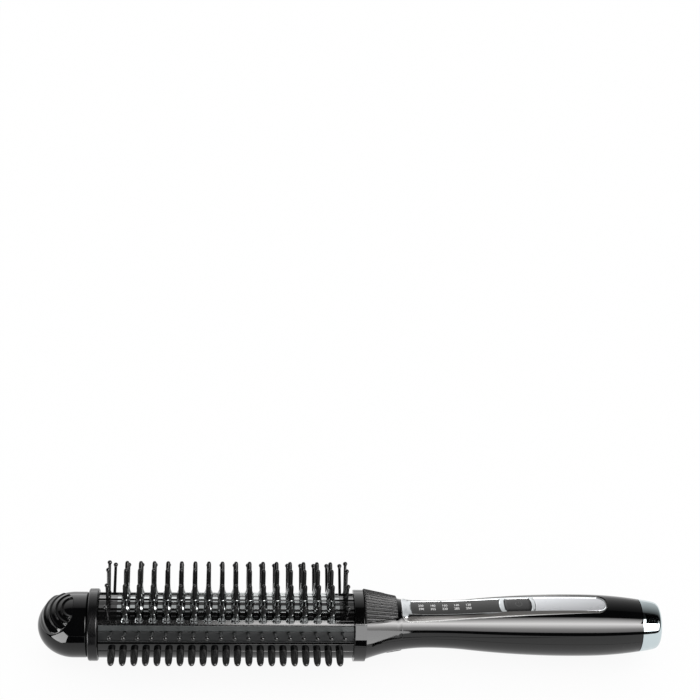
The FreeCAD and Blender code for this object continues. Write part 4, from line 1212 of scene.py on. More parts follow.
class BarrelBuilder:
    """Builds the collar, the heated plate, the teeth, the pins and the shells of the barrel."""

    # Height of each cross-section of a stub, with half its length and half its width.
    STUB = ((16.9, 2.45, 4.0), (17.3, 2.3, 3.75), (17.7, 2.05, 3.1), (18.2, 1.8, 2.45),
            (18.8, 1.6, 1.95), (19.6, 1.45, 1.6), (21.0, 1.34, 1.38), (22.4, 1.25, 1.25),
            (23.0, 0.5, 0.5))
    # Height and radius along a cap.
    CAP = ((22.35, 1.0), (22.4, 1.18), (22.6, 1.24), (27.0, 1.22), (31.2, 1.17), (32.4, 1.13),
           (33.0, 1.02), (33.45, 0.8), (33.7, 0.5), (33.8, 0.02))
    # Height and radius of the foot of a pin, and height of its ball.
    END_PIN = (16.9, 1.5, 32.9)
    SIDE_PIN = (16.1, 1.0, 33.3)
    # Angle and radius round the section of a rail.
    RAIL = ((49.3, 14.8), (49.3, 17.05), (60.0, 16.45), (60.0, 14.8))
    # Radii and angles of the two parts of a pin strip.
    STRIP = (((14.8, 16.05), (60.4, 82.4)), ((15.9, 16.55), (79.2, 81.6)))

    def __init__(self, size: BarrelSize) -> None:
        """Keep the sizes."""
        self.size = size
        self.span = (size.front_x, size.rear_x)

    def front_collar(self) -> Piece:
        """Stepped ring with rounded edges and the flat that it rests on."""
        rim = self.size.collar_radius
        profile = ((-2.7, 12.45), (-2.7, rim - 0.6), (-2.1, rim), (2.1, rim), (2.7, rim - 0.6),
                   (2.7, 14.7), (4.7, 14.7), (4.7, 8.0), (3.2, 8.0), (3.2, 12.45))
        solid = Solid().lathe(rounded(profile, 0.35)).keep_above(-self.size.rest_flat)
        return solid.dress("front_ring", Finishes.COLLAR, "front_collar")

    def lands(self) -> tuple[list[Land], list[Land]]:
        """Raised lands along the heated plate.

        Returns:
            The dark ones along its edges, and the bright ones between the teeth.
        """
        size = self.size
        edge = size.plate_angle - 0.1
        dark = [Land((-edge, 17.1), (-edge + 1.7, 17.1)), Land((edge - 1.7, 17.1), (edge, 17.1))]
        bright = []
        for row in size.rows:
            bright.append(Land((row + 0.2, 17.0), (row + 8.2, 17.5)))
            if row < size.rows[-1]:
                bright.append(Land((row + 11.4, 16.95), (row + 14.6, 17.1)))
        return dark, bright

    def plate(self) -> list[Piece]:
        """Curved black plate with its raised lands, bright between the teeth."""
        size = self.size
        front, rear = size.plate_bright
        pieces = []
        for word, span, bright in (("front", (size.front_x, front), Finishes.PLATE_DARK),
                                   ("middle", (front + 0.01, rear), Finishes.PLATE),
                                   ("rear", (rear + 0.01, size.rear_x), Finishes.PLATE_DARK)):
            bed = Solid().loft(sector_rings(size.plate_radii,
                                            (-size.plate_angle, size.plate_angle), span))
            strips = Solid()
            for solid, lands in zip((bed, strips), self.lands()):
                for land in lands:
                    line = ((land.low[0], size.land_foot), land.low, land.high,
                            (land.high[0], size.land_foot))
                    solid.loft([[polar(x, r, angle) for angle, r in line] for x in span])
            for solid, name, finish in ((bed, "plate_", Finishes.PLATE_DARK),
                                        (strips, "plate_lands_", bright)):
                pieces.append(solid.dress(name + word, finish, "heater_plate", bevel=0.08))
        return pieces

    def stub_template(self) -> Piece:
        """One flared stub of the heated plate, standing upright."""
        rings = [oval((half_x, half_y), z, 28, 0.5) for z, half_x, half_y in self.STUB]
        return Solid().loft(rings).build("stub_template", Finishes.PLATE, sharp=40,
                                         template=True)

    def cap_template(self) -> Piece:
        """One heat-proof cap with its rounded tip, standing upright."""
        return Solid().upright_lathe(self.CAP, 24).build("cap_template", Finishes.CAP, sharp=50,
                                                         template=True)

    def pin_template(self, foot: float, foot_radius: float, ball: float) -> Piece:
        """One ball-tipped pin, standing upright.

        Args:
            foot: height of its foot.
            foot_radius: radius of its foot.
            ball: height of the ball's centre.

        Returns:
            The template.
        """
        stem, tip = self.size.pin_stem, self.size.pin_ball
        flare = foot_radius - stem
        profile = [(foot, foot_radius), (foot + 0.35, stem + 0.57 * flare),
                   (foot + 0.9, stem + 0.14 * flare), (foot + 1.6, stem),
                   (ball - 1.6, 0.93 * stem), (ball - 1.05, 0.95 * stem)]
        profile += [(ball + tip * math.sin(math.radians(a)), tip * math.cos(math.radians(a)))
                    for a in range(-44, 76, 12)]
        profile += [(ball + tip, 0.02)]
        return Solid().upright_lathe(profile, 20).build("pin_template", Finishes.PIN, sharp=60,
                                                        template=True)

    def comb_template(self) -> Piece:
        """One short tapered comb tooth, standing upright."""
        size = self.size
        rings = []
        length = size.comb_tip - size.radius
        for turn in evenly(0.0, 90.0, 14):
            share = math.sin(math.radians(turn))
            taper = math.sqrt(max(0.0, 1 - share ** size.comb_taper))
            half = tuple(half * taper + 0.02 for half in size.comb_half)
            z = size.radius - size.comb_root + (length + size.comb_root) * share
            rings.append(oval(half, z, 24))
        return Solid().loft(rings).build("comb_template", Finishes.COMB, sharp=60,
                                         template=True)

    def rows(self) -> list[Piece]:
        """Stubs and then caps of the four heated rows."""
        size = self.size
        stub, cap = self.stub_template(), self.cap_template()
        stubs, caps = [], []
        for number, angle in enumerate(size.rows, 1):
            row = Row(size.tooth_count, (size.tooth_first, 0.0), size.tooth_pitch, angle,
                      0.8, 10 + number)
            stubs.append(ROWS.make("stub_row_%d" % number, stub, row, Finishes.PLATE,
                                   "heater_plate"))
            caps.append(ROWS.make("cap_row_%d" % number, cap, row, Finishes.CAP,
                                  "tooth_caps_row_%d" % number))
        for template in (stub, cap):
            bpy.data.objects.remove(template)
        return stubs + caps

    def pins(self) -> list[Piece]:
        """Ball-tipped pins at the ends of the rows and along the sides."""
        size = self.size
        made = []
        template = self.pin_template(*self.END_PIN)
        for x, word in zip(size.end_pins, ("front", "rear")):
            for number, angle in enumerate(size.rows, 1):
                made.append(ROWS.make("end_pin_%s_%d" % (word, number), template,
                                      Row(1, (x, 0.0), 0.0, angle), Finishes.PIN,
                                      "end_pins_" + word))
        bpy.data.objects.remove(template)
        template = self.pin_template(*self.SIDE_PIN)
        for side, word in SIDES:
            row = Row(size.side_count, (size.side_first, -side * size.side_shift),
                      size.side_pitch, side * size.side_angle)
            made.append(ROWS.make("guard_pins_" + word, template, row, Finishes.PIN,
                                  "side_pins_" + word))
        bpy.data.objects.remove(template)
        return made

    def sides(self) -> list[Piece]:
        """Satin rails, sunk pin strips and the shell round the back."""
        size = self.size
        made = []
        for side, word in SIDES:
            rail = Solid().loft([[polar(x, r, side * a) for a, r in self.RAIL]
                                 for x in self.span])
            made.append(rail.dress("rail_" + word, Finishes.RAIL, "side_rail_" + word,
                                   bevel=0.25))
            strip = Solid()
            for radii, angles in self.STRIP:
                turned = tuple(sorted(side * angle for angle in angles))
                strip.loft(sector_rings(radii, turned, self.span))
            made.append(strip.dress("channel_" + word, Finishes.STRIP, "pin_strip_" + word,
                                    bevel=0.12))
        shell = Solid().loft(sector_rings((size.plate_radii[0], size.radius),
                                          size.shell_angles, self.span,
                                          groove=size.comb_angle))
        made.append(shell.dress("back_shell", Finishes.GLOSS, "barrel_back_shell", bevel=0.15))
        return made

    def comb(self) -> list[Piece]:
        """Short comb teeth along both sides of the back shell."""
        size = self.size
        template = self.comb_template()
        made = []
        for side, word in SIDES:
            row = Row(size.comb_count, (size.comb_first, 0.0), size.comb_pitch,
                      side * size.comb_angle)
            made.append(ROWS.make("comb_teeth_" + word, template, row, Finishes.COMB,
                                  "comb_strip_" + word))
        bpy.data.objects.remove(template)
        return made

    def build(self) -> list[Piece]:
        """Build the pieces of the barrel."""
        rows = self.rows()
        return [self.front_collar(), *self.plate(), *rows, *self.pins(), *self.sides(),
                *self.comb()]


# --- handle -----------------------------------------------------------------------------------

class Bed(Enum):
    """What the upper shell makes room for at a cross-section."""

    NONE = "none"
    GRIP = "grip"
    PANEL = "panel"


class HandleBuilder:
    """Builds the shells, the rear collar, the neck grip, the trigger and the end cap."""

    # Profiles as (x, radius).
    RING = ((136.8, 10.0), (136.8, 17.1), (142.2, 17.1), (142.2, 12.4), (150.0, 12.4),
            (150.0, 11.2), (139.5, 11.2), (139.5, 10.0))
    CAP = ((291.85, 13.7), (291.95, 14.0), (293.5, 13.86), (296.0, 13.5), (298.5, 13.06),
           (300.2, 12.66), (301.3, 12.2), (302.1, 11.5), (302.65, 10.6), (302.92, 9.4),
           (303.0, 8.0), (303.0, 5.6), (302.85, 5.35), (302.5, 5.28), (301.0, 5.28),
           (301.0, 10.4), (286.5, 10.4), (286.5, 11.5), (291.8, 11.5))
    GLAND = ((284.0, 3.4), (284.0, 4.6), (298.4, 4.6), (298.4, 7.2), (300.8, 7.2),
             (300.8, 5.2), (302.7, 5.2), (302.7, 3.4))
    # Radii, angles and ends of the satin arc on the rear collar.
    ARC = ((16.9, BARREL.collar_radius), (-47.4, 47.4), (136.8, 142.1))
    # The trigger's tab seen from the side, and the boxes of its flange and ramp.
    TAB = ((155.8, -16.4), (164.0, -14.4), (164.0, -8.0), (155.8, -8.0))
    TAB_HALF = 4.0
    FLANGE = ((148.1, -4.9, -8.4), (164.4, 4.9, -7.4))
    RAMP = ((152.2, -2.5, -7.5), (157.0, 2.5, 2.0))

    def __init__(self, size: HandleSize, panel: PanelSize, grip: GripSize) -> None:
        """Keep the sizes.

        Args:
            size: sizes of the handle.
            panel: sizes of the control panel that is let into it.
            grip: sizes of the neck grip.
        """
        self.size = size
        self.panel = panel
        self.saddle = grip
        self.edge = half_line(panel.outline)

    def section(self, x: float) -> Triple:
        """Outer radius, inner radius and height of the axis of the shells.

        Args:
            x: place along the handle.

        Returns:
            The three, for the rim round the collar or for the handle behind it.
        """
        size = self.size
        if x < size.start_x:
            return BARREL.collar_radius, BARREL.radius + size.rim_gap, 0.0
        radius = size.radius(x)
        return radius, radius - size.wall, size.axis_z

    def stations(self) -> list[tuple[float, float, Bed]]:
        """Cross-sections of the upper shell from front to rear.

        Returns:
            Place along X, half width of the part that is let down, and what it makes room for.
        """
        size = self.size
        rear_x, rear_y = size.notch[1]
        result = [(x, size.notch[0][1], Bed.GRIP) for x in (size.rim_x, size.start_x - 0.001)]
        result += [(x, along(size.notch, x), Bed.GRIP)
                   for x in evenly(size.start_x, rear_x, 14)]
        first, places = self.edge[0], [p for p in self.edge if p[0] > self.edge[0][0]]
        result += [(rear_x + 0.001, rear_y, Bed.NONE), (first[0] - 0.1, 7.5, Bed.NONE),
                   (first[0] - 0.099, first[1] + 0.1, Bed.PANEL)]
        result += [(x, y + 0.1, Bed.PANEL) for x, y in places]
        last_x, last_y = places[-1]
        result += [(last_x + 0.1, last_y, Bed.PANEL), (last_x + 0.101, last_y, Bed.NONE)]
        result += [(x, last_y, Bed.NONE) for x in evenly(last_x, size.end_x, 16)[1:]]
        return result

    def upper(self) -> Piece:
        """Upper shell, let down under the grip and the panel."""
        size = self.size
        rings = []
        for x, half, bed in self.stations():
            radius, inner_r, axis = self.section(x)
            seam = math.degrees(math.acos((size.seam[1] - axis) / radius))
            edge = math.degrees(math.asin(half / radius))
            near = [polar(x, radius, angle, axis) for angle in evenly(seam, edge, 30)]
            floor = []
            for y in evenly(-half, half, 16):
                z = axis + math.sqrt(radius ** 2 - y ** 2)
                if bed is Bed.PANEL:
                    z = min(z - size.panel_bed_least, self.panel.top(x) - size.panel_bed)
                elif bed is Bed.GRIP:
                    z -= size.grip_bed
                floor.append(Vector((x, y, z)))
            far = [Vector((p.x, -p.y, p.z)) for p in reversed(near)]
            low = math.degrees(math.acos((size.seam[1] - axis) / inner_r))
            roof = [polar(x, inner_r, angle, axis) for angle in evenly(-low, low, 40)]
            for point in roof:
                if bed is not Bed.NONE and abs(point.y) < half + 1.0:
                    point.z = min(point.z, floor[8].z - size.roof)
            rings.append(near + floor + far + roof)
        return Solid().loft(rings).dress("upper_shell", Finishes.GLOSS, "handle_upper_shell",
                                         sharp=40)

    def lower(self) -> Piece:
        """Lower shell with its screw wells and the slot for the trigger."""
        size = self.size
        rings = []
        for x in (size.rim_x, size.start_x - 0.001, *evenly(size.start_x, size.end_x, 100)):
            radius, inner_r, axis = self.section(x)
            ring = []
            for r, flip in ((radius, 1), (inner_r, -1)):
                seam = math.degrees(math.acos((size.seam[0] - axis) / r))
                ring += [polar(x, r, angle, axis)
                         for angle in evenly(seam, 360 - seam, 72)[::flip]]
            rings.append(ring)
        shell = Solid().loft(rings).keep_above(-BARREL.rest_flat).build(
            "lower_shell", Finishes.GLOSS, sharp=40)
        for number, (x, well) in enumerate(size.wells):
            tool = Solid().upright_lathe([(-25.0, size.well_radius), (well, size.well_radius)],
                                         40).shift(x)
            carve(shell, tool.build("well_%d" % number, Finishes.GLOSS))
        carve(shell, Solid().block(*size.slot).build("slot", Finishes.GLOSS, bevel=0.8))
        return fit(shell, ROOT, Finishes.GLOSS, "handle_lower_shell")

    def collar(self) -> list[Piece]:
        """Ring behind the barrel and its satin arc on top."""
        ring = Solid().lathe(rounded(self.RING, 0.2))
        arc = Solid().loft(sector_rings(*self.ARC))
        return [ring.dress("rear_ring", Finishes.COLLAR_GREY, "rear_collar"),
                arc.dress("rear_arc", Finishes.COLLAR_GREY, "rear_collar", bevel=0.35)]

    def grip(self) -> Piece:
        """Ribbed saddle on the neck; its ribs run together towards the handle."""
        size = self.saddle
        rings = []
        for x in (*size.front_places, *evenly(*size.middle, 27), *size.rear_places):
            radius = along(size.radius, x)
            ease = min(1.0, (x - size.front_fade[0]) / size.front_fade[1],
                       (size.rear_fade[0] - x) / size.rear_fade[1])
            edge = math.degrees(math.asin(along(size.half, x) / radius))
            top = []
            for u in evenly(-1.0, 1.0, size.points):
                groove = 0.5 + 0.5 * math.cos(math.tau * edge * u / size.rib_step)
                border = smooth((1 - abs(u)) / size.border)
                drop = size.rib_depth * (groove ** size.rib_power + 1 - border)
                top.append(polar(x, radius - drop - size.end_drop * (1 - ease), edge * u,
                                 size.axis_z))
            under = [polar(x, radius - size.thickness, angle, size.axis_z)
                     for angle in evenly(edge, -edge, 24)]
            rings.append(top + under)
        return Solid().loft(rings).dress("ribbed_grip", Finishes.RUBBER, "neck_grip", sharp=60)

    def trigger(self) -> Piece:
        """Rounded trigger tab with its flange and ramp inside the neck."""
        solid = Solid().loft([[Vector((x, y, z)) for x, z in self.TAB]
                              for y in (-self.TAB_HALF, self.TAB_HALF)])
        solid.block(*self.FLANGE).block(*self.RAMP)
        return solid.dress("trigger_tab", Finishes.TRIGGER, "steam_trigger", "steam_trigger",
                           bevel=0.7)

    def tail(self) -> list[Piece]:
        """Chromed cap and the swivelling gland inside it."""
        axis = self.size.axis_z
        return [Solid().lathe(self.CAP, axis, 160).dress("tail_cap", Finishes.CHROME,
                                                         "end_cap"),
                Solid().lathe(rounded(self.GLAND, 0.3), axis).dress(
                    "swivel_gland", Finishes.SWITCH, "cord_gland", "cord_gland")]

    def build(self) -> list[Piece]:
        """Build the pieces of the handle."""
        return [*self.collar(), self.upper(), self.lower(), self.grip(), self.trigger(),
                *self.tail()]


# --- control panel ----------------------------------------------------------------------------

class PanelBuilder:
    """Builds the bright frame with its painted dark reflection and painted highlight bands, the
    window with its marks, the bare plate and the button.
    """

    # Shares of the way from the middle of a tile to its edge.
    SHARES = (0.0, 0.3, 0.6, 0.82)
    # Heights between which the frame's openings are cut.
    OPENING = (5.0, 25.0)
    # Edges of the window and of the plate above their undersides, as (inwards, drop).
    WINDOW_EDGE = ((0.12, 0.08), (0.0, 0.18))
    PLATE_EDGE = ((0.15, 0.02), (0.0, 0.12))
    # Height and radius along the button's stem.
    STEM = ((11.1, 2.6), (11.9, 2.6), (11.95, 1.5), (15.2, 1.5))

    def __init__(self, size: PanelSize) -> None:
        """Keep the sizes and the outline.

        Args:
            size: sizes of the panel.
        """
        self.size = size
        self.edge = half_line(size.outline)
        self.loop = full_loop(size.outline)
        self.ends = min(x for x, _ in self.loop), max(x for x, _ in self.loop)

    def half_width(self, x: float) -> float:
        """Half width of the panel.

        Args:
            x: place along the handle.

        Returns:
            Half the width there, or at the nearer end.
        """
        for (x0, y0), (x1, y1) in zip(self.edge, self.edge[1:]):
            if x <= x1:
                share = max(0.0, (x - x0) / (x1 - x0)) if x1 > x0 else 0.0
                return y0 + (y1 - y0) * share
        return self.edge[-1][1]

    def on_face(self, x: float, y: float, drop: float) -> Vector:
        """Point below the panel's crowned face."""
        return Vector((x, y, self.size.surface(x, y) - drop))

    def tile(self, name: str, loop: Sequence[Pair], section: Callable[[float], list[Pair]],
             finish: Finishes) -> Piece:
        """Closed tile that follows the panel's top line.

        Args:
            name: its name.
            loop: its outline seen from above.
            section: gives its edge at a place along X, as (distance inwards, drop below the
                top line), from the flat top round to the underside.
            finish: its material.

        Returns:
            The tile.
        """
        lead = self.size.tile_lead
        low, high = min(x for x, _ in loop) + lead, max(x for x, _ in loop) - lead
        rings = []
        for (x, y), (nx, ny) in zip(loop, loop_normals(loop)):
            middle = min(max(x, low), high)
            edge = section(x)
            line = [(x - nx * inward, y - ny * inward, drop) for inward, drop in edge]
            first_x, first_y, first_drop = line[0]
            places = [(middle + (first_x - middle) * share, first_y * share, first_drop)
                      for share in self.SHARES]
            places += line + [(middle, 0.0, edge[-1][1])]
            rings.append([self.on_face(*place) for place in places])
        solid = Solid().loft(rings, ring_closed=False, caps=False, around=True)
        return solid.build(name, finish, sharp=22)

    def frame_section(self, x: float) -> list[Pair]:
        """Edge of the frame: flat top, sloping rim, steep flank and a small foot.

        Args:
            x: place along the handle.

        Returns:
            The edge, as (distance inwards, drop below the top line).
        """
        size = self.size
        first, last = self.edge[0][0], self.edge[-1][0]
        front_lead, rear_lead = size.end_leads
        half = self.half_width(min(max(x, first + front_lead), last - rear_lead))
        shell = HANDLE.axis_z + math.sqrt(HANDLE.radius(x) ** 2 - self.half_width(x) ** 2)
        rise = max(size.least_rise, size.surface(x, self.half_width(x)) - shell)
        inside = smooth((x - first) / size.end_ease) * smooth((last - x) / size.end_ease)
        inset = size.end_rim + (half - size.flat_half - size.end_rim) * inside
        foot = min(size.foot, size.foot_share * rise)
        slope, lean = size.slope, size.lean
        flank = (size.foot_reach + lean * (rise - foot - slope * inset)) / (1 - slope * lean)
        flank = min(max(flank, 0.5 * inset), 0.85 * inset)
        rim = min(slope * (inset - flank), 0.45 * rise)
        low = min(size.foot_reach, 0.6 * flank)
        return [(inset + 0.25, 0.0), (inset, 0.01), (flank, rim), (low, rise - foot), (0.0, rise),
                (0.0, rise + 0.25), (0.7, rise + 0.3), (inset + 0.3, size.tile + 0.05)]

    def frame(self) -> Piece:
        """Bright frame with its three openings."""
        size = self.size
        obj = self.tile("bright_frame", self.loop, self.frame_section, Finishes.BEZEL)
        for word, outline in (("window", size.window), ("button", size.button),
                              ("plate", size.plate)):
            tool = Solid().loft([[Vector((x, y, z)) for x, y in full_loop(outline)]
                                 for z in self.OPENING])
            carve(obj, tool.build("opening_" + word, Finishes.BEZEL))
        return fit(obj, ROOT, Finishes.BEZEL, "bezel")

    def band(self, name: str, finish: Finishes,
             section: Callable[[float, float], tuple[Pair, ...]]) -> Piece:
        """Closed band round the side of the frame.

        Args:
            name: its name.
            finish: its material.
            section: gives its section at a place, as (distance inwards, drop below the face).

        Returns:
            The finished band.
        """
        rings = [[self.on_face(x - nx * inward, y - ny * inward, drop)
                  for inward, drop in section(x, y)]
                 for (x, y), (nx, ny) in zip(self.loop, loop_normals(self.loop))]
        return Solid().loft(rings, around=True, caps=False).dress(name, finish, "bezel")

    def dark_reflection_section(self, x: float, y: float) -> tuple[Pair, ...]:
        """Section of the dark band, a painted dark reflection on the frame's flank, which also
        takes in the slope on the left side.

        Args:
            x: place along the handle.
            y: place across it.

        Returns:
            The section, as (distance inwards, drop below the face).
        """
        size = self.size
        (inset, _), (high, top), (low, foot) = self.frame_section(x)[1:4]
        share = smooth((-y - size.dark_reflection_side[0]) / size.dark_reflection_side[1]) * (
            smooth((x - self.ends[0] - size.dark_reflection_front[0]) / size.dark_reflection_front[1])
            * smooth((self.ends[1] - size.dark_reflection_rear[0] - x) / size.dark_reflection_rear[1]))
        start, level = high + (inset + size.dark_reflection_overlap - high) * share, top * (1 - share)
        return ((start, level - 0.03 * share), (high - 0.03, top - 0.03),
                (low - 0.04, foot - 0.02), (low + 0.3, foot + 0.1), (start + 0.02, level + 0.3))

    def foot_highlight_section(self, x: float, _: float) -> tuple[Pair, ...]:
        """Section of the light line round the foot, a painted highlight.

        Args:
            x: place along the handle.

        Returns:
            The section, as (distance inwards, drop below the face).
        """
        (low, foot), (_, rise) = self.frame_section(x)[3:5]
        return ((low - 0.02, foot - 0.03), (-0.04, rise), (-0.04, rise + 0.2),
                (low + 0.2, rise + 0.2))

    def window(self) -> Piece:
        """Smoked window, let in a little."""
        size = self.size
        edge = [*self.WINDOW_EDGE, (0.0, size.tile)]
        obj = self.tile("smoked_window", full_loop(size.window, -size.window_gap),
                        lambda x: edge, Finishes.WINDOW)
        return fit(obj, ROOT, Finishes.WINDOW, "display_window")

    def plate(self) -> Piece:
        """Bare satin plate."""
        size = self.size
        edge = [*self.PLATE_EDGE, (0.0, size.tile)]
        obj = self.tile("satin_plate", full_loop(size.plate, -size.plate_gap), lambda x: edge,
                        Finishes.NAME_PLATE)
        return fit(obj, ROOT, Finishes.NAME_PLATE, "name_plate")

    def sign(self) -> Solid:
        """Plain on mark of the button: an open ring with a bar."""
        size = self.size
        middle, rise, half = size.button_middle, size.button_rise, size.sign_half
        rings = []
        for degrees in evenly(35, 325, 32):
            turn = math.radians(degrees)
            ring = []
            for k in range(6):
                across = math.tau * k / 6
                reach = size.sign_radius + half * math.cos(across)
                x, y = middle + reach * math.sin(turn), reach * math.cos(turn)
                ring.append(self.on_face(x, y, -rise - 0.01 * math.sin(across)))
            rings.append(ring)
        level = size.top(middle) + rise - 0.02
        return Solid().loft(rings).block((middle - half, 0.6, level),
                                         (middle + half, 2.3, level + 0.03))

    def button(self) -> list[Piece]:
        """Power button with a plain on mark, and its stem."""
        size = self.size
        rise = size.button_rise
        edge = [(1.3, -rise), (0.4, 0.04 - rise), (0.12, 0.16 - rise), (0.0, 0.1), (0.0, 0.35)]
        cap = self.tile("button_cap", full_loop(size.button, -size.button_gap), lambda x: edge,
                        Finishes.BUTTON)
        stem = Solid().upright_lathe(self.STEM, 32).shift(size.button_middle)
        pieces = [cap, stem.build("button_stem", Finishes.BUTTON),
                  self.sign().build("button_mark", Finishes.SYMBOL)]
        return [fit(piece, "power_button", Finishes.BUTTON, "power_button") for piece in pieces]

    def marks(self) -> list[Piece]:
        """Plain temperature numbers on the window, with the Fahrenheit value below each."""
        size = self.size
        made = []
        for number, celsius in enumerate(size.marks):
            fahrenheit = round((int(celsius) * 1.8 + 32) / 5) * 5
            curve = bpy.data.curves.new("mark", "FONT")
            for name, value in (("body", "%s\n%d" % (celsius, fahrenheit)),
                                ("align_x", "CENTER"), ("align_y", "CENTER"),
                                ("size", size.mark_size), ("space_line", 1.15),
                                ("extrude", 0.02)):
                setattr(curve, name, value)
            obj = add_object("mark_%s" % celsius, curve)
            bpy.context.view_layer.update()
            obj = bake(obj)
            middle = size.mark_first + number * size.mark_pitch
            for vertex in obj.data.vertices:
                x, y, z = vertex.co
                vertex.co = (self.on_face(middle + size.mark_squeeze * x, y, 0.05 - z)
                             + HOME) / 1000
            obj.data.materials.clear()
            obj.data.materials.append(MATERIALS.get(Finishes.PRINT.value))
            made.append(fit(obj, ROOT, Finishes.WINDOW))
        return made

    def build(self) -> list[Piece]:
        """Build the pieces of the panel."""
        return [self.frame(),
                # The flank band is a painted dark reflection on the chrome frame.
                self.band("frame_flank", Finishes.BEZEL_FLANK, self.dark_reflection_section),
                # The foot band is a painted highlight on the chrome frame.
                self.band("frame_foot", Finishes.BEZEL_FOOT, self.foot_highlight_section),
                self.window(), self.plate(), *self.button(), *self.marks()]


# --- studio -----------------------------------------------------------------------------------

@dataclass(frozen=True)
class SoftBox:
    """Curved glowing panel that the gloss surfaces mirror.

    Attributes:
        angles: its lowest and highest direction, from +Z towards -Y, in degrees.
        span: its ends along X, in metres.
        fade: share of its length over which it fades in from the left.
        distance: how far away it stands, in metres.
        levels: brightness across it, as (share of the angles, level).
        colour: its tint.
    """

    angles: Pair
    span: Pair
    fade: float
    distance: float
    levels: tuple[Pair, ...]
    colour: Triple


@dataclass(frozen=True)
class Card:
    """Small card beside the brush that only mirrors see.

    Attributes:
        corners: its corners, in the barrel frame.
        glow: its brightness, where 0 is black.
    """

    corners: tuple[Triple, ...]
    glow: float


def round_card(radius: float, glow: float, *places: Pair) -> Card:
    """Card at one distance from the barrel's axis."""
    return Card(tuple(tuple(polar(x, radius, angle)) for x, angle in places), glow)


def curved_card(span: Pair, angles: Pair, radius: float, glow: float) -> Card:
    """Four-cornered card at one distance from the barrel's axis."""
    return round_card(radius, glow, (span[0], angles[0]), (span[1], angles[0]),
                      (span[1], angles[1]), (span[0], angles[1]))


def floor_card(*places: Pair) -> Card:
    """Black card just over the floor."""
    return Card(tuple((x, y, -18.4) for x, y in places), 0.0)


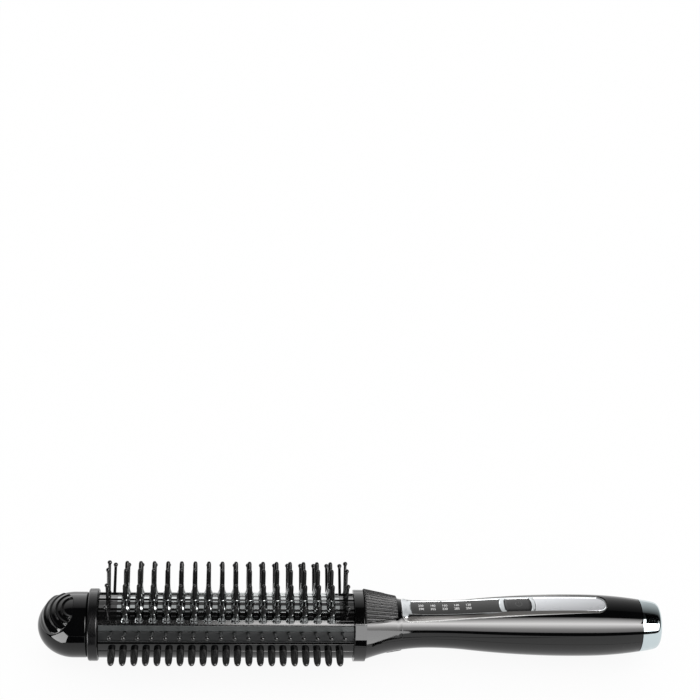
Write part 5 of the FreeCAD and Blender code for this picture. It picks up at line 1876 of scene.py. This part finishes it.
class Studio:
    """Floor, panels of light, surroundings and camera."""

    BOX = SoftBox((20.0, 77.0), (-0.06, 2.1), 0.015, 1.25,
                  ((0.0, 1.5), (0.21, 9.0), (0.42, 17.0), (0.58, 11.0), (0.76, 5.0), (1.0, 2.6)),
                  (1.0, 0.985, 0.98))
    BOX_GRID = (24, 12)
    CARDS = (
        Card(((-53.0, -29.8, -9.1), (-33.4, -46.7, 16.3), (-22.6, -52.5, 6.4),
              (-26.6, -48.5, -13.7), (-33.8, -43.8, -16.9)), 11.0),
        curved_card((139.8, 148.8), (46.4, 90.3), 75.0, 6.2),
        round_card(50.0, 6.0, (160.0, 46.0), (160.0, 116.5), (171.0, 113.8), (173.4, 107.3),
                   (176.0, 95.4), (177.8, 85.8), (179.3, 83.5), (179.3, 76.0), (172.0, 60.0)),
        floor_card((168.7, -42.9), (177.3, -53.0), (203.0, -97.0), (342.0, -414.0),
                   (250.0, -170.0), (200.0, -84.0), (177.0, -50.6), (166.3, -35.9),
                   (160.4, -31.4)),
        curved_card((310.5, 350.0), (2.0, 41.5), 50.0, 0.0),
        floor_card((1.5, -61.0), (-6.5, -188.0), (-118.0, -2000.0), (-2000.0, -2000.0),
                   (-2000.0, -500.0), (-80.0, -20.0), (-47.0, -51.0), (-10.0, -61.0)),
        floor_card((138.5, -61.0), (147.5, -58.0), (172.0, -330.0), (158.0, -330.0)),
        curved_card((130.0, 165.0), (8.0, 44.5), 75.0, 0.0),
    )
    # Brightness of the mirrored backdrop, by the direction's share along +X.
    BACKDROP = ((-0.05, 2.7), (0.03, 1.9), (0.12, 1.9), (0.25, 0.9), (0.4, 0.7), (1.0, 0.7))
    BACKDROP_LEAN = 0.21
    BACKDROP_EDGE = 0.02
    BACKDROP_FALL = 1.4
    FRONT_LEVEL = 0.012
    EVEN_LIGHT = 1.06
    FLOOR_SEEN = 0.92
    FLOOR_MIRRORED = 0.78
    FLOOR_HALF = 5
    FLOOR_DROP = 0.0002
    LENS = 87.3264
    CAMERA_PLACE = (-0.0754711, -0.6804005, 0.633878)
    CAMERA_TURN = (57.175812, -3.266361, -3.295831)

    def floor(self) -> Piece:
        """Plain pale floor just under the rest flats, with a soft shadow."""
        mesh = bpy.data.meshes.new("floor")
        far = self.FLOOR_HALF
        mesh.from_pydata([(-far, -far, 0), (far, -far, 0), (far, far, 0), (-far, far, 0)], [],
                         [(0, 1, 2, 3)])
        obj = add_object("floor", mesh)
        material = bpy.data.materials.new("floor")
        material.use_nodes = True
        nodes = NodeWriter(material.node_tree)
        shader = material.node_tree.nodes["Principled BSDF"]
        for name, value in (("Base Color", (0.93, 0.93, 0.93, 1)), ("Roughness", 0.9),
                            ("Specular IOR Level", 0.0)):
            nodes.give(shader, name, value)
        glow = nodes.add("ShaderNodeEmission").outputs["Emission"]
        path = nodes.add("ShaderNodeLightPath").outputs
        share: Socket | float = 0.0
        for ray, level in (("Is Camera Ray", self.FLOOR_SEEN),
                           ("Is Glossy Ray", self.FLOOR_MIRRORED),
                           ("Is Transmission Ray", self.FLOOR_MIRRORED)):
            share = nodes.math("MULTIPLY_ADD", path[ray], level, share)
        mix = nodes.add("ShaderNodeMixShader", {"Fac": share, 1: shader.outputs["BSDF"],
                                                2: glow})
        nodes.give(material.node_tree.nodes["Material Output"], "Surface",
                   mix.outputs["Shader"])
        mesh.materials.append(material)
        obj.location.z = -self.FLOOR_DROP
        return obj

    @staticmethod
    def hang(mesh: bpy.types.Mesh, glow: Callable[[NodeWriter], dict[str, object]]) -> Piece:
        """Stage a light that only gloss surfaces see.

        Args:
            mesh: its shape.
            glow: gives the inputs of its emission.

        Returns:
            The light, hidden from the camera, from matt surfaces and from shadows.
        """
        obj = add_object(mesh.name, mesh)
        material = bpy.data.materials.new(mesh.name)
        material.use_nodes = True
        material.node_tree.nodes.clear()
        nodes = NodeWriter(material.node_tree)
        shine = nodes.add("ShaderNodeEmission", glow(nodes)).outputs["Emission"]
        nodes.add("ShaderNodeOutputMaterial", {"Surface": shine})
        mesh.materials.append(material)
        obj.visible_camera = False
        obj.visible_diffuse = False
        obj.visible_shadow = False
        return obj

    def card(self, number: int, card: Card) -> Piece:
        """Small card beside the brush.

        Args:
            number: its number.
            card: its place and brightness.

        Returns:
            The card.
        """
        mesh = bpy.data.meshes.new("card_%d" % number)
        corners = [(Vector(corner) + HOME) / 1000 for corner in card.corners]
        mesh.from_pydata(corners, [], [tuple(range(len(corners)))])
        return self.hang(mesh, lambda nodes: {"Strength": card.glow})

    def box_glow(self, nodes: NodeWriter) -> dict[str, object]:
        """Brightness of the soft box, from its middle line outwards and from its left end.

        Args:
            nodes: writer of its material's tree.

        Returns:
            Inputs of its emission.
        """
        place = nodes.add("ShaderNodeUVMap", uv_map="panel").outputs["UV"]
        split = nodes.add("ShaderNodeSeparateXYZ", {"Vector": place}).outputs
        core = max(level for _, level in self.BOX.levels)
        stops = [(share, [channel * level / core for channel in self.BOX.colour])
                 for share, level in self.BOX.levels]
        return {"Color": nodes.ramp(split["Y"], stops),
                "Strength": nodes.spread(split["X"], (0.0, self.BOX.fade), (0.0, core),
                                         "SMOOTHSTEP")}

    def soft_box(self) -> Piece:
        """Curved glowing panel, brightest along its middle."""
        box, (steps, turns) = self.BOX, self.BOX_GRID
        points, places = [], []
        for i, x in enumerate(evenly(*box.span, steps)):
            for j, angle in enumerate(evenly(*box.angles, turns)):
                points.append(polar(x, box.distance, angle, HOME.z / 1000))
                places.append((i / steps, j / turns))
        wide = turns + 1
        faces = [(i * wide + j, (i + 1) * wide + j, (i + 1) * wide + j + 1, i * wide + j + 1)
                 for i in range(steps) for j in range(turns)]
        mesh = bpy.data.meshes.new("soft_box_1")
        mesh.from_pydata(points, [], faces)
        layer = mesh.uv_layers.new(name="panel")
        for loop in mesh.loops:
            layer.data[loop.index].uv = places[loop.vertex_index]
        return self.hang(mesh, self.box_glow)

    def surroundings(self) -> None:
        """Even white light for matt surfaces; a backdrop behind and dark in front for mirrors."""
        world = bpy.data.worlds.new("studio")
        bpy.context.scene.world = world
        world.use_nodes = True
        world.node_tree.nodes.clear()
        nodes = NodeWriter(world.node_tree)
        facing = nodes.add("ShaderNodeTexCoord").outputs["Generated"]
        split = nodes.add("ShaderNodeSeparateXYZ", {"Vector": facing}).outputs
        lean = nodes.math("MULTIPLY_ADD", split["Z"], -self.BACKDROP_LEAN, split["Y"])
        behind = nodes.spread(lean, (-self.BACKDROP_EDGE, self.BACKDROP_EDGE),
                              curve="SMOOTHSTEP")
        brightest = max(glow for _, glow in self.BACKDROP)
        stops = [((share + 1) / 2, [glow / brightest] * 3) for share, glow in self.BACKDROP]
        tint = nodes.ramp(nodes.spread(split["X"], (-1.0, 1.0)), stops)
        back = nodes.math("MAXIMUM", split["Y"], 0.001)
        shaded = nodes.math("MULTIPLY", nodes.math("MULTIPLY", behind, brightest),
                            nodes.math("POWER", back, self.BACKDROP_FALL))
        tone = nodes.math("MULTIPLY_ADD", shaded, tint, self.FRONT_LEVEL)
        even, mirror = (nodes.add("ShaderNodeBackground", {
            "Strength": strength, "Color": (1, 1, 1, 1)}).outputs["Background"]
            for strength in (self.EVEN_LIGHT, tone))
        glossy = nodes.add("ShaderNodeLightPath").outputs["Is Glossy Ray"]
        mix = nodes.add("ShaderNodeMixShader", {"Fac": glossy, 1: even, 2: mirror})
        nodes.add("ShaderNodeOutputWorld", {"Surface": mix.outputs["Shader"]})

    def camera(self) -> Piece:
        """Camera that looks down on the brush from its left side."""
        data = bpy.data.cameras.new("camera")
        data.sensor_width = 36.0
        data.lens = self.LENS
        data.clip_end = 50.0
        obj = add_object("camera", data)
        obj.location = self.CAMERA_PLACE
        obj.rotation_euler = [math.radians(a) for a in self.CAMERA_TURN]
        bpy.context.scene.camera = obj
        return obj

    def build(self) -> list[Piece]:
        """Set up the whole studio."""
        made = [self.camera(), self.floor(), self.soft_box()]
        made += [self.card(number, card) for number, card in enumerate(self.CARDS, 1)]
        self.surroundings()
        bpy.context.scene.view_settings.view_transform = "Standard"
        return made


# --- carried-over nodes -----------------------------------------------------------------------

class InnerParts:
    """Gives every CAD node its own procedural finish, by the record's slot."""

    def __init__(self) -> None:
        """List the first finish of each slot."""
        self.by_slot = {finish.value.slot: finish for finish in reversed(Finishes)}

    def paint(self) -> list[Piece]:
        """Paint the CAD nodes.

        Returns:
            The painted nodes.
        """
        slots = {item["node"]: item["material_slot"] for item in frame["record"]["subparts"]}
        for name, obj in frame["nodes"].items():
            obj.data.materials.clear()
            obj.data.materials.append(MATERIALS.get(self.by_slot[slots[name]].value))
        return list(frame["nodes"].values())


def main() -> None:
    """Build the brush piece by piece and log each one."""
    logging.basicConfig(level=logging.INFO, format="%(name)s: %(message)s")
    steps: list[tuple[str, Callable[[], list[Piece]]]] = [
        ("studio", Studio().build), ("carried-over node", InnerParts().paint),
        ("nose", NoseBuilder(NoseSize()).build), ("barrel", BarrelBuilder(BARREL).build),
        ("handle", HandleBuilder(HANDLE, PANEL, GripSize()).build),
        ("panel", PanelBuilder(PANEL).build),
    ]
    for name, step in steps:
        for piece in step():
            log.info("%s: %s", name, piece.name)


if __name__ == "__main__":
    main()
